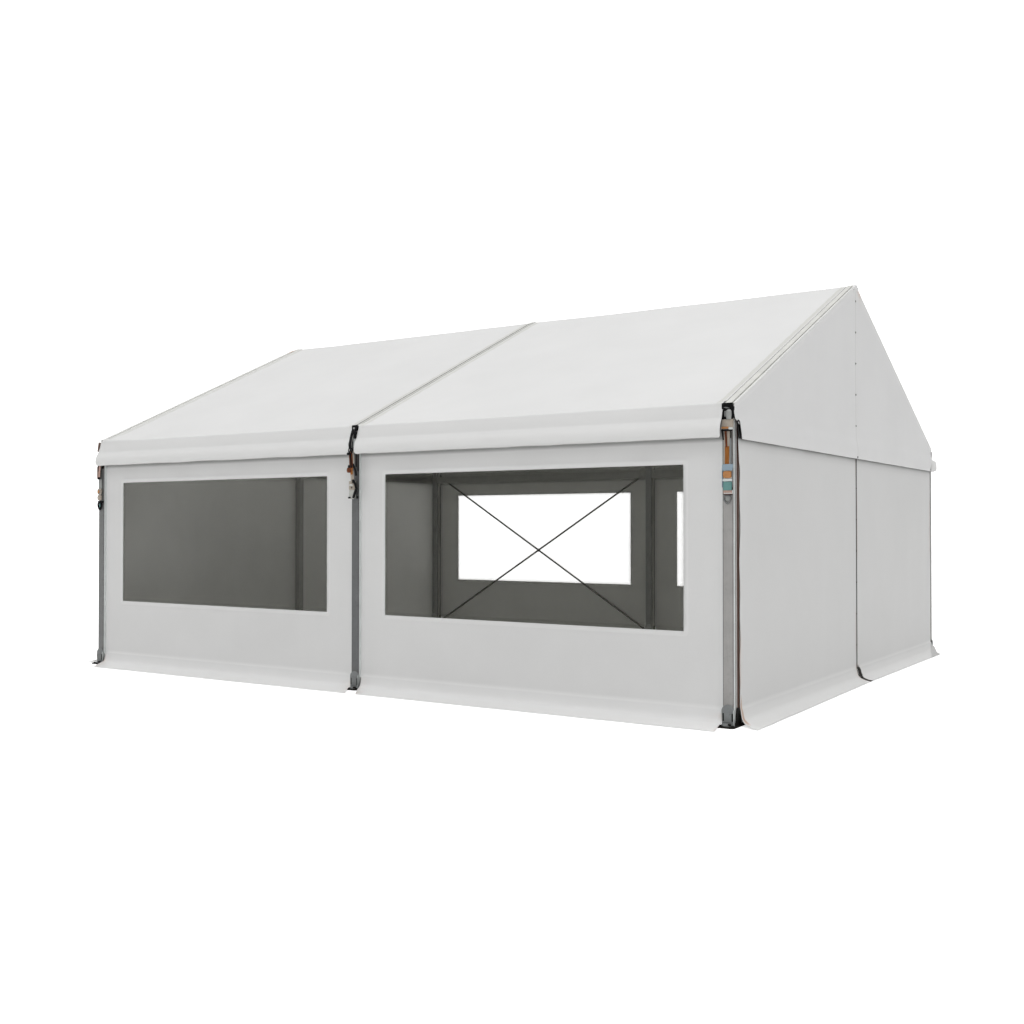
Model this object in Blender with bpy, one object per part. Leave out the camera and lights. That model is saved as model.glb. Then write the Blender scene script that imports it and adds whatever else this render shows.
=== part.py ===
# Marquee tent: a two-bay aluminium frame with PVC roof covers, walls, windows and gables.
# Metres, +Z up. The origin is on the ground at the middle of the tent, the front is at -Y.

import math

import bmesh
import bpy
from mathutils import Matrix, Vector

# Driving dimensions
BAY = 3.0  # from one frame's middle to the next
SPAN = 5.10  # between the legs' outer faces
EAVE = 1.985  # the roof's outer surface over a leg's outer face
RIDGE = 3.165
FABRIC = 0.004
GAP = 0.0003  # between pieces that touch

# Aluminium profiles
LEG_WIDTH = 0.072
LEG_DEPTH = 0.120
CHAMFER = 0.003
KEDER_DEPTH = 0.007  # grooves that hold the fabric's edges
KEDER_WIDTH = FABRIC + 2 * GAP
WALL_INSET = 0.025  # from a leg's outer face to the side wall's outer face
GABLE_GROOVE = 0.086  # from a leg's outer face to the groove for the gable wall
RAFTER_DEPTH = 0.100
RIB_WIDTH = 0.046
RIB_PROUD = 0.003
RIB_GROOVE_WIDTH = 0.007
RIB_GROOVE_DEPTH = 0.006
PURLIN_WIDTH = 0.060
EAVE_PURLIN_Z = (1.780, 1.860)
EAVE_PURLIN_INSET = 0.050
RIDGE_PURLIN_Z = (3.050, 3.130)
RIDGE_PLATE = (0.160, 2.985, 0.006)  # half width, lower edge, thickness
RIDGE_PLATE_DROP = 0.012  # from the roof to the plate's upper edge
POST_WIDTH = 0.060
POST_BASE = (0.120, 0.140, 0.008)

# Feet
BASE_PLATE = (0.200, 0.200, 0.008)
CHEEK_WIDTH = LEG_WIDTH
CHEEK_THICKNESS = 0.006
CHEEK_TOP = 0.135
PIN_RADIUS = 0.014
PIN_LENGTH = 0.010
PIN_Z = 0.088

# The cap on a rafter's end, with the strap and ratchet under it that pull the roof cover down
CAP_Z = (1.800, 1.984)
CAP_THICKNESS = 0.006
CAP_PIN = (0.013, 0.014, 1.945)  # radius, length, height
LOOP = (0.068, 0.016, 1.822, 1.893)  # width, depth, lowest, highest
STRAP = (0.034, 0.006, 1.600, 1.830)
RATCHET = (0.066, 0.029, 1.432, 1.612)
RING = (0.054, 0.010, 1.368, 1.436)

# Walls
WALL_TOP = 1.870
WINDOW_WIDTH = 2.420
WINDOW_Z = (0.570, 1.620)
WINDOW_OFFSET = 0.018  # towards the left of the bay's middle, seen from outside
PANEL_FOOT_Z = 0.150  # under this the panel's edges are clear of the leg's foot
FOOT_CLEARANCE = 0.045
SKIRT_WELD_Z = 0.105
SKIRT_REACH_SIDE = 0.235
SKIRT_REACH_GABLE = 0.125
SKIRT_SPLAY_SIDE = 0.020  # how much longer a skirt is at the ground than at its weld
SKIRT_SPLAY_GABLE = 0.080
GABLE_WALL_TOP = 1.900
GABLE_SEAM = 0.008

# A skirt's outer surface, as its share of the reach and its height
SKIRT_PROFILE = (
    (0.06, 0.085),
    (0.12, 0.056),
    (0.22, 0.034),
    (0.45, 0.0165),
    (0.75, 0.0070),
    (1.00, 0.0045),
)

# The front hem of a roof cover, outward from the legs' outer face, and its height
HEM_PROFILE = (
    (0.006, 1.976),
    (0.019, 1.942),
    (0.032, 1.898),
    (0.047, 1.870),
    (0.052, 1.845),
    (0.049, 1.812),
    (0.040, 1.785),
    (0.037, 1.775),
)
EAVE_BEND = 0.025  # where the roof starts to turn down, inside the legs' outer face
HEM_CLEARANCE = 0.040  # from a frame's middle to the hem's end

# Gable tops
GABLE_TOP_HALF = 2.511
GABLE_HEM = ((1.775, 0.0, 2.437), (1.840, 0.004, 2.480), (1.905, 0.0, 2.511))  # height, bulge, half its length
GABLE_STEP_Z = 1.940

# The crossed cables of the back left bay, between the wall and the eave purlin
CABLE_RADIUS = 0.008
CABLE_SIDES = 8
CABLE_INSET = 0.0395  # from the legs' outer face
CABLE_TOP_Z = 1.850
CABLE_FOOT_Z = 0.050
CABLE_LUG = (0.030, 0.018, 0.040)
CABLE_COUPLING = (0.022, 0.018)  # radius, depth

# Worked out from the above
HALF_SPAN = SPAN / 2
LEG_HALF = LEG_WIDTH / 2
RIB_HALF = RIB_WIDTH / 2
SLOPE = (RIDGE - EAVE) / HALF_SPAN
PITCH = math.atan(SLOPE)
RAFTER_DROP = RAFTER_DEPTH / math.cos(PITCH)
FRAME_XS = (-BAY, 0.0, BAY)
BAYS = (("left", -BAY), ("right", 0.0))
SIDES = (("front", 0.0), ("back", math.pi))


def roof_z(y):
    """Height of the roof's outer surface over a point at y."""
    return RIDGE - SLOPE * abs(y)


def clear_scene():
    for obj in list(bpy.data.objects):
        bpy.data.objects.remove(obj, do_unlink=True)


def make_material(name, colour, roughness, metallic=0.0, alpha=1.0):
    material = bpy.data.materials.new(name)
    material.use_nodes = True
    shader = material.node_tree.nodes["Principled BSDF"]
    shader.inputs["Base Color"].default_value = (*colour, 1.0)
    shader.inputs["Roughness"].default_value = roughness
    shader.inputs["Metallic"].default_value = metallic
    shader.inputs["Alpha"].default_value = alpha
    return material


def finish_mesh(mesh, crease_angle=35.0):
    """Turn the faces outwards and shade the round ones smooth."""
    bm = bmesh.new()
    bm.from_mesh(mesh)
    bmesh.ops.recalc_face_normals(bm, faces=bm.faces)
    bm.to_mesh(mesh)
    bm.free()
    mesh.shade_smooth()
    mesh.set_sharp_from_angle(angle=math.radians(crease_angle))


def add_object(name, mesh, material, location=(0, 0, 0), turn=0.0):
    obj = bpy.data.objects.new(name, mesh)
    bpy.context.scene.collection.objects.link(obj)
    if not mesh.materials:
        mesh.materials.append(material)
    obj.location = location
    obj.rotation_euler = (0.0, 0.0, turn)
    return obj


def mirrored(right_half):
    """A closed outline from its right half, given from the top down."""
    return right_half + [(-x, y) for x, y in reversed(right_half)]


def extrude_outline(name, outline, place, low, high):
    """A prism. place(u, v, w) puts the outline's point u, v at the end w."""
    count = len(outline)
    verts = [place(u, v, low) for u, v in outline]
    verts += [place(u, v, high) for u, v in outline]
    faces = [tuple(range(count))[::-1], tuple(range(count, 2 * count))]
    for i in range(count):
        j = (i + 1) % count
        faces.append((i, j, count + j, count + i))
    mesh = bpy.data.meshes.new(name)
    mesh.from_pydata(verts, [], faces)
    finish_mesh(mesh)
    return mesh


def box_mesh(name, low, high):
    size = [b - a for a, b in zip(low, high)]
    centre = [(a + b) / 2 for a, b in zip(low, high)]
    bm = bmesh.new()
    bmesh.ops.create_cube(bm, size=1.0, matrix=Matrix.LocRotScale(Vector(centre), None, Vector(size)))
    mesh = bpy.data.meshes.new(name)
    bm.to_mesh(mesh)
    bm.free()
    return mesh


def rod_mesh(name, start, end, radius, sides):
    """A round bar from start to end."""
    along = Vector(end) - Vector(start)
    turn = along.to_track_quat("Z", "Y").to_matrix().to_4x4()
    middle = Matrix.Translation((Vector(start) + Vector(end)) / 2)
    bm = bmesh.new()
    bmesh.ops.create_cone(
        bm, cap_ends=True, segments=sides, radius1=radius, radius2=radius, depth=along.length, matrix=middle @ turn
    )
    mesh = bpy.data.meshes.new(name)
    bm.to_mesh(mesh)
    bm.free()
    return mesh


def fuse(name, meshes):
    """One closed mesh from several that run into each other."""
    body = bpy.data.objects.new(name, meshes[0])
    bpy.context.scene.collection.objects.link(body)
    helpers = []
    for other in meshes[1:]:
        helper = bpy.data.objects.new(name + "_part", other)
        bpy.context.scene.collection.objects.link(helper)
        helper.hide_render = True
        helper.display_type = "WIRE"
        union = body.modifiers.new("union", "BOOLEAN")
        union.operation = "UNION"
        union.object = helper
        helpers.append(helper)
    graph = bpy.context.evaluated_depsgraph_get()
    mesh = bpy.data.meshes.new_from_object(body.evaluated_get(graph))
    mesh.name = name
    for obj in helpers + [body]:
        bpy.data.objects.remove(obj, do_unlink=True)
    finish_mesh(mesh)
    return mesh


def sheet(name, points, outward, material, missing=(), location=(0, 0, 0), turn=0.0):
    """A fabric sheet. points[row][column] lie on its outer surface, and missing lists cells that are left out."""
    columns = len(points[0])
    verts = [p for row in points for p in row]
    faces = []
    for r in range(len(points) - 1):
        for c in range(columns - 1):
            if (r, c) not in missing:
                a = r * columns + c
                faces.append((a, a + 1, a + columns + 1, a + columns))
    mesh = bpy.data.meshes.new(name)
    mesh.from_pydata(verts, [], faces)
    bm = bmesh.new()
    bm.from_mesh(mesh)
    bmesh.ops.delete(bm, geom=[v for v in bm.verts if not v.link_faces], context="VERTS")
    bmesh.ops.recalc_face_normals(bm, faces=bm.faces)
    facing = sum((f.normal * f.calc_area() for f in bm.faces), Vector())
    if facing.dot(Vector(outward)) < 0:
        bmesh.ops.reverse_faces(bm, faces=bm.faces)
    bm.to_mesh(mesh)
    bm.free()
    obj = add_object(name, mesh, material, location, turn)
    solidify = obj.modifiers.new("thickness", "SOLIDIFY")
    solidify.solidify_mode = "NON_MANIFOLD"
    solidify.nonmanifold_thickness_mode = "CONSTRAINTS"
    solidify.nonmanifold_merge_threshold = 0.00001
    solidify.thickness = FABRIC
    solidify.offset = -1.0
    return obj


def skirt_rows(reach):
    """The skirt's outer surface from its weld down: distance out from the wall, height, share of the reach."""
    return [(share * reach, z, share) for share, z in SKIRT_PROFILE]


def across(x):
    """Where a frame at x stands, seen from the front."""
    return "left" if x < 0 else "right" if x > 0 else "middle"


def leg_mesh():
    """The leg's profile, with grooves in both flanks, from over its foot up to the rafter's underside."""
    flank = [(LEG_HALF - CHAMFER, 0.0), (LEG_HALF, CHAMFER)]
    for groove in (WALL_INSET - GAP, GABLE_GROOVE):
        flank += [
            (LEG_HALF, groove),
            (LEG_HALF - KEDER_DEPTH, groove),
            (LEG_HALF - KEDER_DEPTH, groove + KEDER_WIDTH),
            (LEG_HALF, groove + KEDER_WIDTH),
        ]
    flank += [(LEG_HALF, LEG_DEPTH - CHAMFER), (LEG_HALF - CHAMFER, LEG_DEPTH)]

    def place(x, inward, top):
        y = inward - HALF_SPAN
        z = roof_z(y) - RAFTER_DROP - GAP if top else BASE_PLATE[2] + GAP
        return (x, y, z)

    return extrude_outline("leg", mirrored(flank), place, False, True)


def foot_mesh():
    """A base plate with two upright cheeks, round at the top, that take the leg between them."""
    width, depth, thickness = BASE_PLATE
    middle_y = LEG_DEPTH / 2 - HALF_SPAN
    plate = box_mesh("foot", (-width / 2, middle_y - depth / 2, 0.0), (width / 2, middle_y + depth / 2, thickness))
    half = CHEEK_WIDTH / 2
    arch = [(half, thickness / 2)]
    for step in range(9):
        angle = math.pi * step / 8
        arch.append((half * math.cos(angle), CHEEK_TOP - half + half * math.sin(angle)))
    arch.append((-half, thickness / 2))
    parts = [plate]
    for outer, out in ((-HALF_SPAN - GAP, -1), (LEG_DEPTH - HALF_SPAN + GAP, 1)):
        far = outer + out * CHEEK_THICKNESS
        parts.append(extrude_outline("cheek", arch, lambda u, v, w: (u, w, v), min(outer, far), max(outer, far)))
        start = (0.0, far - out * CHEEK_THICKNESS / 2, PIN_Z)
        parts.append(rod_mesh("pin", start, (0.0, far + out * PIN_LENGTH, PIN_Z), PIN_RADIUS, 12))
    return fuse("foot", parts)


def rafter_mesh():
    """The rafter's profile, with a grooved rib that stands up between the roof covers, cut upright at both ends."""
    shoulder = -FABRIC - GAP
    flank = [
        (RIB_GROOVE_WIDTH / 2, RIB_PROUD - RIB_GROOVE_DEPTH),
        (RIB_GROOVE_WIDTH / 2, RIB_PROUD),
        (RIB_HALF, RIB_PROUD),
        (RIB_HALF, shoulder),
        (LEG_HALF, shoulder),
        (LEG_HALF, CHAMFER - RAFTER_DEPTH),
        (LEG_HALF - CHAMFER, -RAFTER_DEPTH),
    ]
    return extrude_outline(
        "rafter", mirrored(flank), lambda x, n, y: (x, y, roof_z(y) + n / math.cos(PITCH)), -HALF_SPAN, -GAP
    )


def tensioner_mesh():
    """The cap on the rafter's end with its pin, and the loop, strap, ratchet and ring under it, on the leg's face."""
    face = -HALF_SPAN - GAP

    def block(name, width, low_y, high_y, low_z, high_z):
        return box_mesh(name, (-width / 2, low_y, low_z), (width / 2, high_y, high_z))

    parts = [block("cap", LEG_WIDTH, face - CAP_THICKNESS, face, *CAP_Z)]
    radius, length, pin_z = CAP_PIN
    front = face - CAP_THICKNESS
    parts.append(rod_mesh("cap_pin", (0, front + CAP_THICKNESS / 2, pin_z), (0, front - length, pin_z), radius, 12))
    width, depth, low, high = LOOP
    parts.append(block("loop", width, front - depth, front + CAP_THICKNESS / 2, low, high))
    width, depth, low, high = STRAP
    parts.append(block("strap", width, front - depth, front + CAP_THICKNESS / 2, low, high))
    width, depth, low, high = RATCHET
    parts.append(block("ratchet", width, face - depth, face, low, high))
    width, depth, low, high = RING
    ring = [(width / 2, high), (width / 2, (low + high) / 2), (width / 4, low)]
    ring_outline = mirrored(ring)
    parts.append(
        extrude_outline("ring", ring_outline, lambda u, v, w: (u, w, v), face - depth, face - CAP_THICKNESS / 2)
    )
    return fuse("eave_tensioner", parts)


def ridge_purlin_mesh():
    """A ridge purlin with a plate at each end, bolted to the side of both rafters of a frame."""
    half, low, thickness = RIDGE_PLATE
    start = LEG_HALF + GAP
    end = BAY - start
    parts = [
        box_mesh(
            "ridge_purlin",
            (start, -PURLIN_WIDTH / 2, RIDGE_PURLIN_Z[0]),
            (end, PURLIN_WIDTH / 2, RIDGE_PURLIN_Z[1]),
        )
    ]
    right_half = [
        (half, roof_z(half) - RIDGE_PLATE_DROP),
        (half, roof_z(half) - RAFTER_DROP),
        (half / 2, low),
    ]
    plate = [(0.0, RIDGE - RIDGE_PLATE_DROP)] + mirrored(right_half)
    for low_x in (start, end - thickness):
        parts.append(extrude_outline("plate", plate, lambda u, v, w: (w, u, v), low_x, low_x + thickness))
    return fuse("ridge_purlin", parts)


def gable_post_mesh():
    """The upright under the ridge at a gable, with its base plate, at the right-hand end of the tent."""
    outer = BAY + LEG_HALF
    half = POST_WIDTH / 2
    depth, width, thickness = POST_BASE
    top = roof_z(half) - RAFTER_DROP - GAP
    post = box_mesh("gable_post", (outer - POST_WIDTH, -half, thickness / 2), (outer, half, top))
    base = box_mesh("base", (outer - depth, -width / 2, 0.0), (outer, width / 2, thickness))
    return fuse("gable_post", [base, post])


def bracing_meshes():
    """Crossed cables with a lug at each leg: one carries the coupling, and the other's two lengths end at it."""
    y = HALF_SPAN - CABLE_INSET
    reach = BAY / 2 - LEG_HALF - GAP
    middle = Vector((-BAY / 2, y, (CABLE_TOP_Z + CABLE_FOOT_Z) / 2))
    width, thickness, height = CABLE_LUG
    radius, depth = CABLE_COUPLING

    def lug(way, z):
        """The lug on the leg to the left (way -1) or the right (way 1)."""
        face = middle.x + way * reach
        near, far = sorted((face, face - way * width))
        return box_mesh("lug", (near, y - thickness / 2, z - height / 2), (far, y + thickness / 2, z + height / 2))

    def eye(way, z):
        return Vector((middle.x + way * (reach - width / 2), y, z))

    sideways = Vector((0.0, depth / 2, 0.0))
    coupling = rod_mesh("coupling", middle - sideways, middle + sideways, radius, 16)
    cable = rod_mesh("cable", eye(-1, CABLE_FOOT_Z), eye(1, CABLE_TOP_Z), CABLE_RADIUS, CABLE_SIDES)
    rising = [cable, coupling, lug(-1, CABLE_FOOT_Z), lug(1, CABLE_TOP_Z)]
    meshes = [fuse("back_cable_rising", rising)]
    for half, way, z in (("upper", -1, CABLE_TOP_Z), ("lower", 1, CABLE_FOOT_Z)):
        start = eye(way, z)
        end = middle + (start - middle).normalized() * (radius + GAP)
        cable = rod_mesh("cable", start, end, CABLE_RADIUS, CABLE_SIDES)
        meshes.append(fuse(f"back_cable_falling_{half}", [cable, lug(way, z)]))
    return meshes


def build_frames(aluminium, steel):
    leg = leg_mesh()
    foot = foot_mesh()
    rafter = rafter_mesh()
    tensioner = tensioner_mesh()
    for side, turn in SIDES:
        for x in FRAME_XS:
            place = f"{side}_{across(x)}"
            where = (x, 0.0, 0.0)
            add_object(f"leg_{place}", leg, aluminium, where, turn)
            add_object(f"foot_{place}", foot, steel, where, turn)
            add_object(f"rafter_{place}", rafter, aluminium, where, turn)
            add_object(f"eave_tensioner_{place}", tensioner, steel, where, turn)


def build_purlins(aluminium):
    outer = EAVE_PURLIN_INSET - HALF_SPAN
    start = LEG_HALF + GAP
    eave = box_mesh(
        "eave_purlin",
        (start, outer, EAVE_PURLIN_Z[0]),
        (BAY - start, outer + PURLIN_WIDTH, EAVE_PURLIN_Z[1]),
    )
    ridge = ridge_purlin_mesh()
    for bay, x in BAYS:
        add_object(f"ridge_purlin_{bay}", ridge, aluminium, (x, 0.0, 0.0))
        add_object(f"eave_purlin_front_{bay}", eave, aluminium, (x, 0.0, 0.0))
        add_object(f"eave_purlin_back_{bay}", eave, aluminium, (x + BAY, 0.0, 0.0), math.pi)


def build_roof(fabric):
    """One cover for each bay, from the front hem over the ridge to the back hem."""
    bend_y = HALF_SPAN - EAVE_BEND
    edge = [(bend_y, roof_z(bend_y))]
    edge += [(HALF_SPAN + out, z) for out, z in HEM_PROFILE]
    profile = [(-y, z) for y, z in reversed(edge)] + [(0.0, RIDGE)] + edge
    rib = RIB_HALF + GAP
    columns = (rib, HEM_CLEARANCE, BAY - HEM_CLEARANCE, BAY - rib)
    last = len(columns) - 2
    hem_rows = len(HEM_PROFILE)
    hem_cells = list(range(hem_rows)) + list(range(len(profile) - 1 - hem_rows, len(profile) - 1))
    missing = {(row, column) for row in hem_cells for column in (0, last)}
    points = [[(x, y, z) for x in columns] for y, z in profile]
    for bay, x in BAYS:
        sheet(f"roof_cover_{bay}", points, (0, 0, 1), fabric, missing, (x, 0.0, 0.0))


def build_side_walls(fabric, film):
    """Four wall panels with a window each, their edges in the legs' grooves and a skirt on the ground."""
    y = WALL_INSET - HALF_SPAN
    edge = LEG_HALF - KEDER_DEPTH + 2 * GAP
    left = (BAY - WINDOW_WIDTH) / 2 - WINDOW_OFFSET
    right = left + WINDOW_WIDTH
    columns = (edge, FOOT_CLEARANCE, left, right, BAY - FOOT_CLEARANCE, BAY - edge)
    rows = [(y, z, 0.0) for z in (WALL_TOP, WINDOW_Z[1], WINDOW_Z[0], PANEL_FOOT_Z, SKIRT_WELD_Z)]
    rows += [(y - out, z, share) for out, z, share in skirt_rows(SKIRT_REACH_SIDE)]
    points = []
    for row_y, z, share in rows:
        splay = SKIRT_SPLAY_SIDE * share
        shifts = (0.0, -splay, 0.0, 0.0, splay, 0.0)
        points.append([(x + shift, row_y, z) for x, shift in zip(columns, shifts)])
    missing = {(1, 2)} | {(row, column) for row in range(3, len(rows) - 1) for column in (0, 4)}
    pane = box_mesh(
        "window",
        (left + GAP, y, WINDOW_Z[0] + GAP),
        (right - GAP, y + FABRIC, WINDOW_Z[1] - GAP),
    )
    for side, turn in SIDES:
        for bay, x in BAYS:
            where = (x + BAY if turn else x, 0.0, 0.0)
            sheet(f"{side}_wall_{bay}", points, (0, -1, 0), fabric, missing, where, turn)
            add_object(f"{side}_window_{bay}", pane, film, where, turn)


def build_gables(fabric, aluminium):
    """At each end two wall panels that meet at the middle, the gable top over them and the post behind."""
    face = BAY + LEG_HALF + GAP + FABRIC
    groove = HALF_SPAN - GABLE_GROOVE - KEDER_WIDTH
    rows = [(face, z, 0.0) for z in (GABLE_WALL_TOP, PANEL_FOOT_Z, SKIRT_WELD_Z)]
    rows += [(face + out, z, share) for out, z, share in skirt_rows(SKIRT_REACH_GABLE)]
    hem_face = face + FABRIC + GAP
    steps = [step / 4 for step in range(-4, 5)]
    top = [[(hem_face + bulge, half * step, z) for step in steps] for z, bulge, half in GABLE_HEM]
    top_ys = [GABLE_TOP_HALF * step for step in steps]
    top.append([(face, y, GABLE_STEP_Z) for y in top_ys])
    top.append([(face, y, roof_z(y)) for y in top_ys])
    top.append([(BAY + RIB_HALF + GAP, y, roof_z(y)) for y in top_ys])
    post = gable_post_mesh()
    for end, turn in (("right", 0.0), ("left", math.pi)):
        sheet(f"gable_top_{end}", top, (1, 0, 0), fabric, (), (0, 0, 0), turn)
        add_object(f"gable_post_{end}", post, aluminium, (0, 0, 0), turn)
        for side in (-1, 1):
            points = []
            for x, z, share in rows:
                outer = groove + SKIRT_SPLAY_GABLE * share * share
                points.append([(x, side * y, z) for y in (GABLE_SEAM / 2, outer)])
            half = "front" if (side < 0) == (turn == 0.0) else "back"
            sheet(f"gable_wall_{end}_{half}", points, (1, 0, 0), fabric, (), (0, 0, 0), turn)


def main():
    clear_scene()
    fabric = make_material("white_fabric", (0.78, 0.78, 0.77), 0.55)
    film = make_material("clear_film", (0.42, 0.42, 0.38), 0.15, alpha=0.4)
    aluminium = make_material("aluminium", (0.50, 0.50, 0.49), 0.40, 0.9)
    steel = make_material("dark_steel", (0.10, 0.10, 0.10), 0.45, 0.7)
    cable = make_material("cable_steel", (0.20, 0.20, 0.19), 0.50, 0.8)
    build_frames(aluminium, steel)
    build_purlins(aluminium)
    build_roof(fabric)
    build_side_walls(fabric, film)
    build_gables(fabric, aluminium)
    for mesh in bracing_meshes():
        add_object(mesh.name, mesh, cable)


main()
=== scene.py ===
# Marquee tent: the cloth, straps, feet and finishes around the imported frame.
# Metres. The front with the big windows is at -Y, the ridge runs along X.

import math

import bmesh
import bpy
import numpy as np
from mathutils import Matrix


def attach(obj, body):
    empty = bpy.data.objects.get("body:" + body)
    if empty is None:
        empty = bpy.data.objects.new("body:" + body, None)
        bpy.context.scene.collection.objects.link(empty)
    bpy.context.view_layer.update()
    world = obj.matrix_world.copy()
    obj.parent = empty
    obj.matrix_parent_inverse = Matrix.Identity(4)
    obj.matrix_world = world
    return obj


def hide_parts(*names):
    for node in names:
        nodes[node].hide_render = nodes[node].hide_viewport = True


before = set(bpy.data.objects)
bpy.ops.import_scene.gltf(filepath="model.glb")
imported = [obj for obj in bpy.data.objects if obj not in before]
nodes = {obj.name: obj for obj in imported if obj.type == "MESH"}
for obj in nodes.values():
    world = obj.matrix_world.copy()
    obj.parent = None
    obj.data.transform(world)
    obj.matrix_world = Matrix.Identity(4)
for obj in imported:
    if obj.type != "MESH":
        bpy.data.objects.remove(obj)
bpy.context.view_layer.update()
print("frame loaded,", len(nodes), "nodes")

# The tent's own sizes, the same as in the frame
tent = dict(
    bay=3.0,  # from frame to frame
    half=2.55,  # middle to the legs' outer face
    eave=1.985,
    ridge=3.165,
    clothThick=0.0015,
)
tent["slope"] = (tent["ridge"] - tent["eave"]) / tent["half"]
bays = dict(left=-tent["bay"], right=0.0)
frames = dict(left=-tent["bay"], middle=0.0, right=tent["bay"])


def roofZ(y):
    # straight slopes: the ridge less the slope times the distance from the middle
    return tent["ridge"] - tent["slope"] * np.abs(y)


# Shader helpers

def newGroup(name, inputs, outputs):
    # an effect with named inputs and outputs, built once
    tree = bpy.data.node_groups.new(name, "ShaderNodeTree")
    for socket, kind, value in inputs:
        made = tree.interface.new_socket(socket, in_out="INPUT", socket_type="NodeSocket" + kind)
        made.default_value = value
    for socket, kind in outputs:
        tree.interface.new_socket(socket, in_out="OUTPUT", socket_type="NodeSocket" + kind)
    return tree, tree.nodes.new("NodeGroupInput").outputs, tree.nodes.new("NodeGroupOutput").inputs


def mathNode(tree, operation, a, b=0.0, c=None):
    node = tree.nodes.new("ShaderNodeMath")
    node.operation = operation
    for slot, value in enumerate((a, b, c)):
        if value is None:
            continue
        if isinstance(value, (int, float)):
            node.inputs[slot].default_value = value
        else:
            tree.links.new(value, node.inputs[slot])
    return node.outputs[0]


def rampNode(tree, value, low, high, fromValue=0.0, toValue=1.0):
    # straight from low to high, held at both ends
    node = tree.nodes.new("ShaderNodeMapRange")
    node.clamp = True
    for socket, number in (("From Min", low), ("From Max", high), ("To Min", fromValue), ("To Max", toValue)):
        if isinstance(number, (int, float)):
            node.inputs[socket].default_value = number
        else:
            tree.links.new(number, node.inputs[socket])
    tree.links.new(value, node.inputs["Value"])
    return node.outputs["Result"]


def mixNode(tree, share, a, b):
    node = tree.nodes.new("ShaderNodeMix")
    node.data_type = "RGBA"
    for slot, value in ((0, share), (6, a), (7, b)):
        if isinstance(value, (int, float)):
            node.inputs[slot].default_value = value
        elif isinstance(value, tuple):
            node.inputs[slot].default_value = (*value, 1.0)
        else:
            tree.links.new(value, node.inputs[slot])
    return node.outputs[2]


def scaleNode(tree, colour, amount):
    node = tree.nodes.new("ShaderNodeVectorMath")
    node.operation = "SCALE"
    if isinstance(colour, tuple):
        node.inputs[0].default_value = colour
    else:
        tree.links.new(colour, node.inputs[0])
    tree.links.new(amount, node.inputs["Scale"])
    return node.outputs[0]


def noiseNode(tree, where, scale, detail, rough, stretch=None):
    if stretch is not None:
        turn = tree.nodes.new("ShaderNodeMapping")
        turn.inputs["Scale"].default_value = stretch
        tree.links.new(where, turn.inputs["Vector"])
        where = turn.outputs[0]
    node = tree.nodes.new("ShaderNodeTexNoise")
    node.inputs["Scale"].default_value = scale
    node.inputs["Detail"].default_value = detail
    node.inputs["Roughness"].default_value = rough
    tree.links.new(where, node.inputs["Vector"])
    return node.outputs["Fac"]


def newMaterial(name, **plain):
    # a Principled material with plain values on its sockets
    material = bpy.data.materials.new(name)
    material.use_nodes = True
    shader = material.node_tree.nodes["Principled BSDF"]
    for key, value in plain.items():
        shader.inputs[key.replace("_", " ")].default_value = value
    return material, material.node_tree, shader.inputs


# Camera, light and floor
shot = dict(
    at=(5.7155, -9.1469, 1.2254),
    turn=33.087,  # degrees left of +Y
    up=0.761,
    lens=40.12,
)
sky = dict(
    level=0.365,  # light from the horizon
    top=2.05,  # extra light from overhead
    focus=4.0,  # how far the extra light keeps to the top
    seen=1.6,  # the white that the camera sees behind the tent
)
ground = dict(size=240.0, colour=(0.86, 0.86, 0.855), lift=0.65)


def makeCamera():
    data = bpy.data.cameras.new("camera")
    data.sensor_width = 36.0
    data.lens = shot["lens"]
    data.clip_end = 400.0
    camera = bpy.data.objects.new("camera", data)
    camera.location = shot["at"]
    camera.rotation_euler = (math.radians(90.0 + shot["up"]), 0.0, math.radians(shot["turn"]))
    bpy.context.scene.collection.objects.link(camera)
    bpy.context.scene.camera = camera


def makeSky():
    # brightness = level + top * (height of the direction above the horizon) ^ focus
    world = bpy.data.worlds.new("softSky")
    bpy.context.scene.world = world
    world.use_nodes = True
    tree = world.node_tree
    tree.nodes.clear()
    new, link = tree.nodes.new, tree.links.new
    split = new("ShaderNodeSeparateXYZ")
    link(new("ShaderNodeTexCoord").outputs["Generated"], split.inputs[0])
    above = mathNode(tree, "MAXIMUM", split.outputs["Z"], 0.0)
    overhead = mathNode(tree, "POWER", above, sky["focus"])
    light, seen = new("ShaderNodeBackground"), new("ShaderNodeBackground")
    for background in (light, seen):
        background.inputs["Color"].default_value = (1.0, 1.0, 1.0, 1.0)
    link(mathNode(tree, "MULTIPLY_ADD", overhead, sky["top"], sky["level"]), light.inputs["Strength"])
    seen.inputs["Strength"].default_value = sky["seen"]
    mix = new("ShaderNodeMixShader")
    link(new("ShaderNodeLightPath").outputs["Is Camera Ray"], mix.inputs[0])
    link(light.outputs[0], mix.inputs[1])
    link(seen.outputs[0], mix.inputs[2])
    out = new("ShaderNodeOutputWorld")
    link(mix.outputs[0], out.inputs["Surface"])


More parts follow.
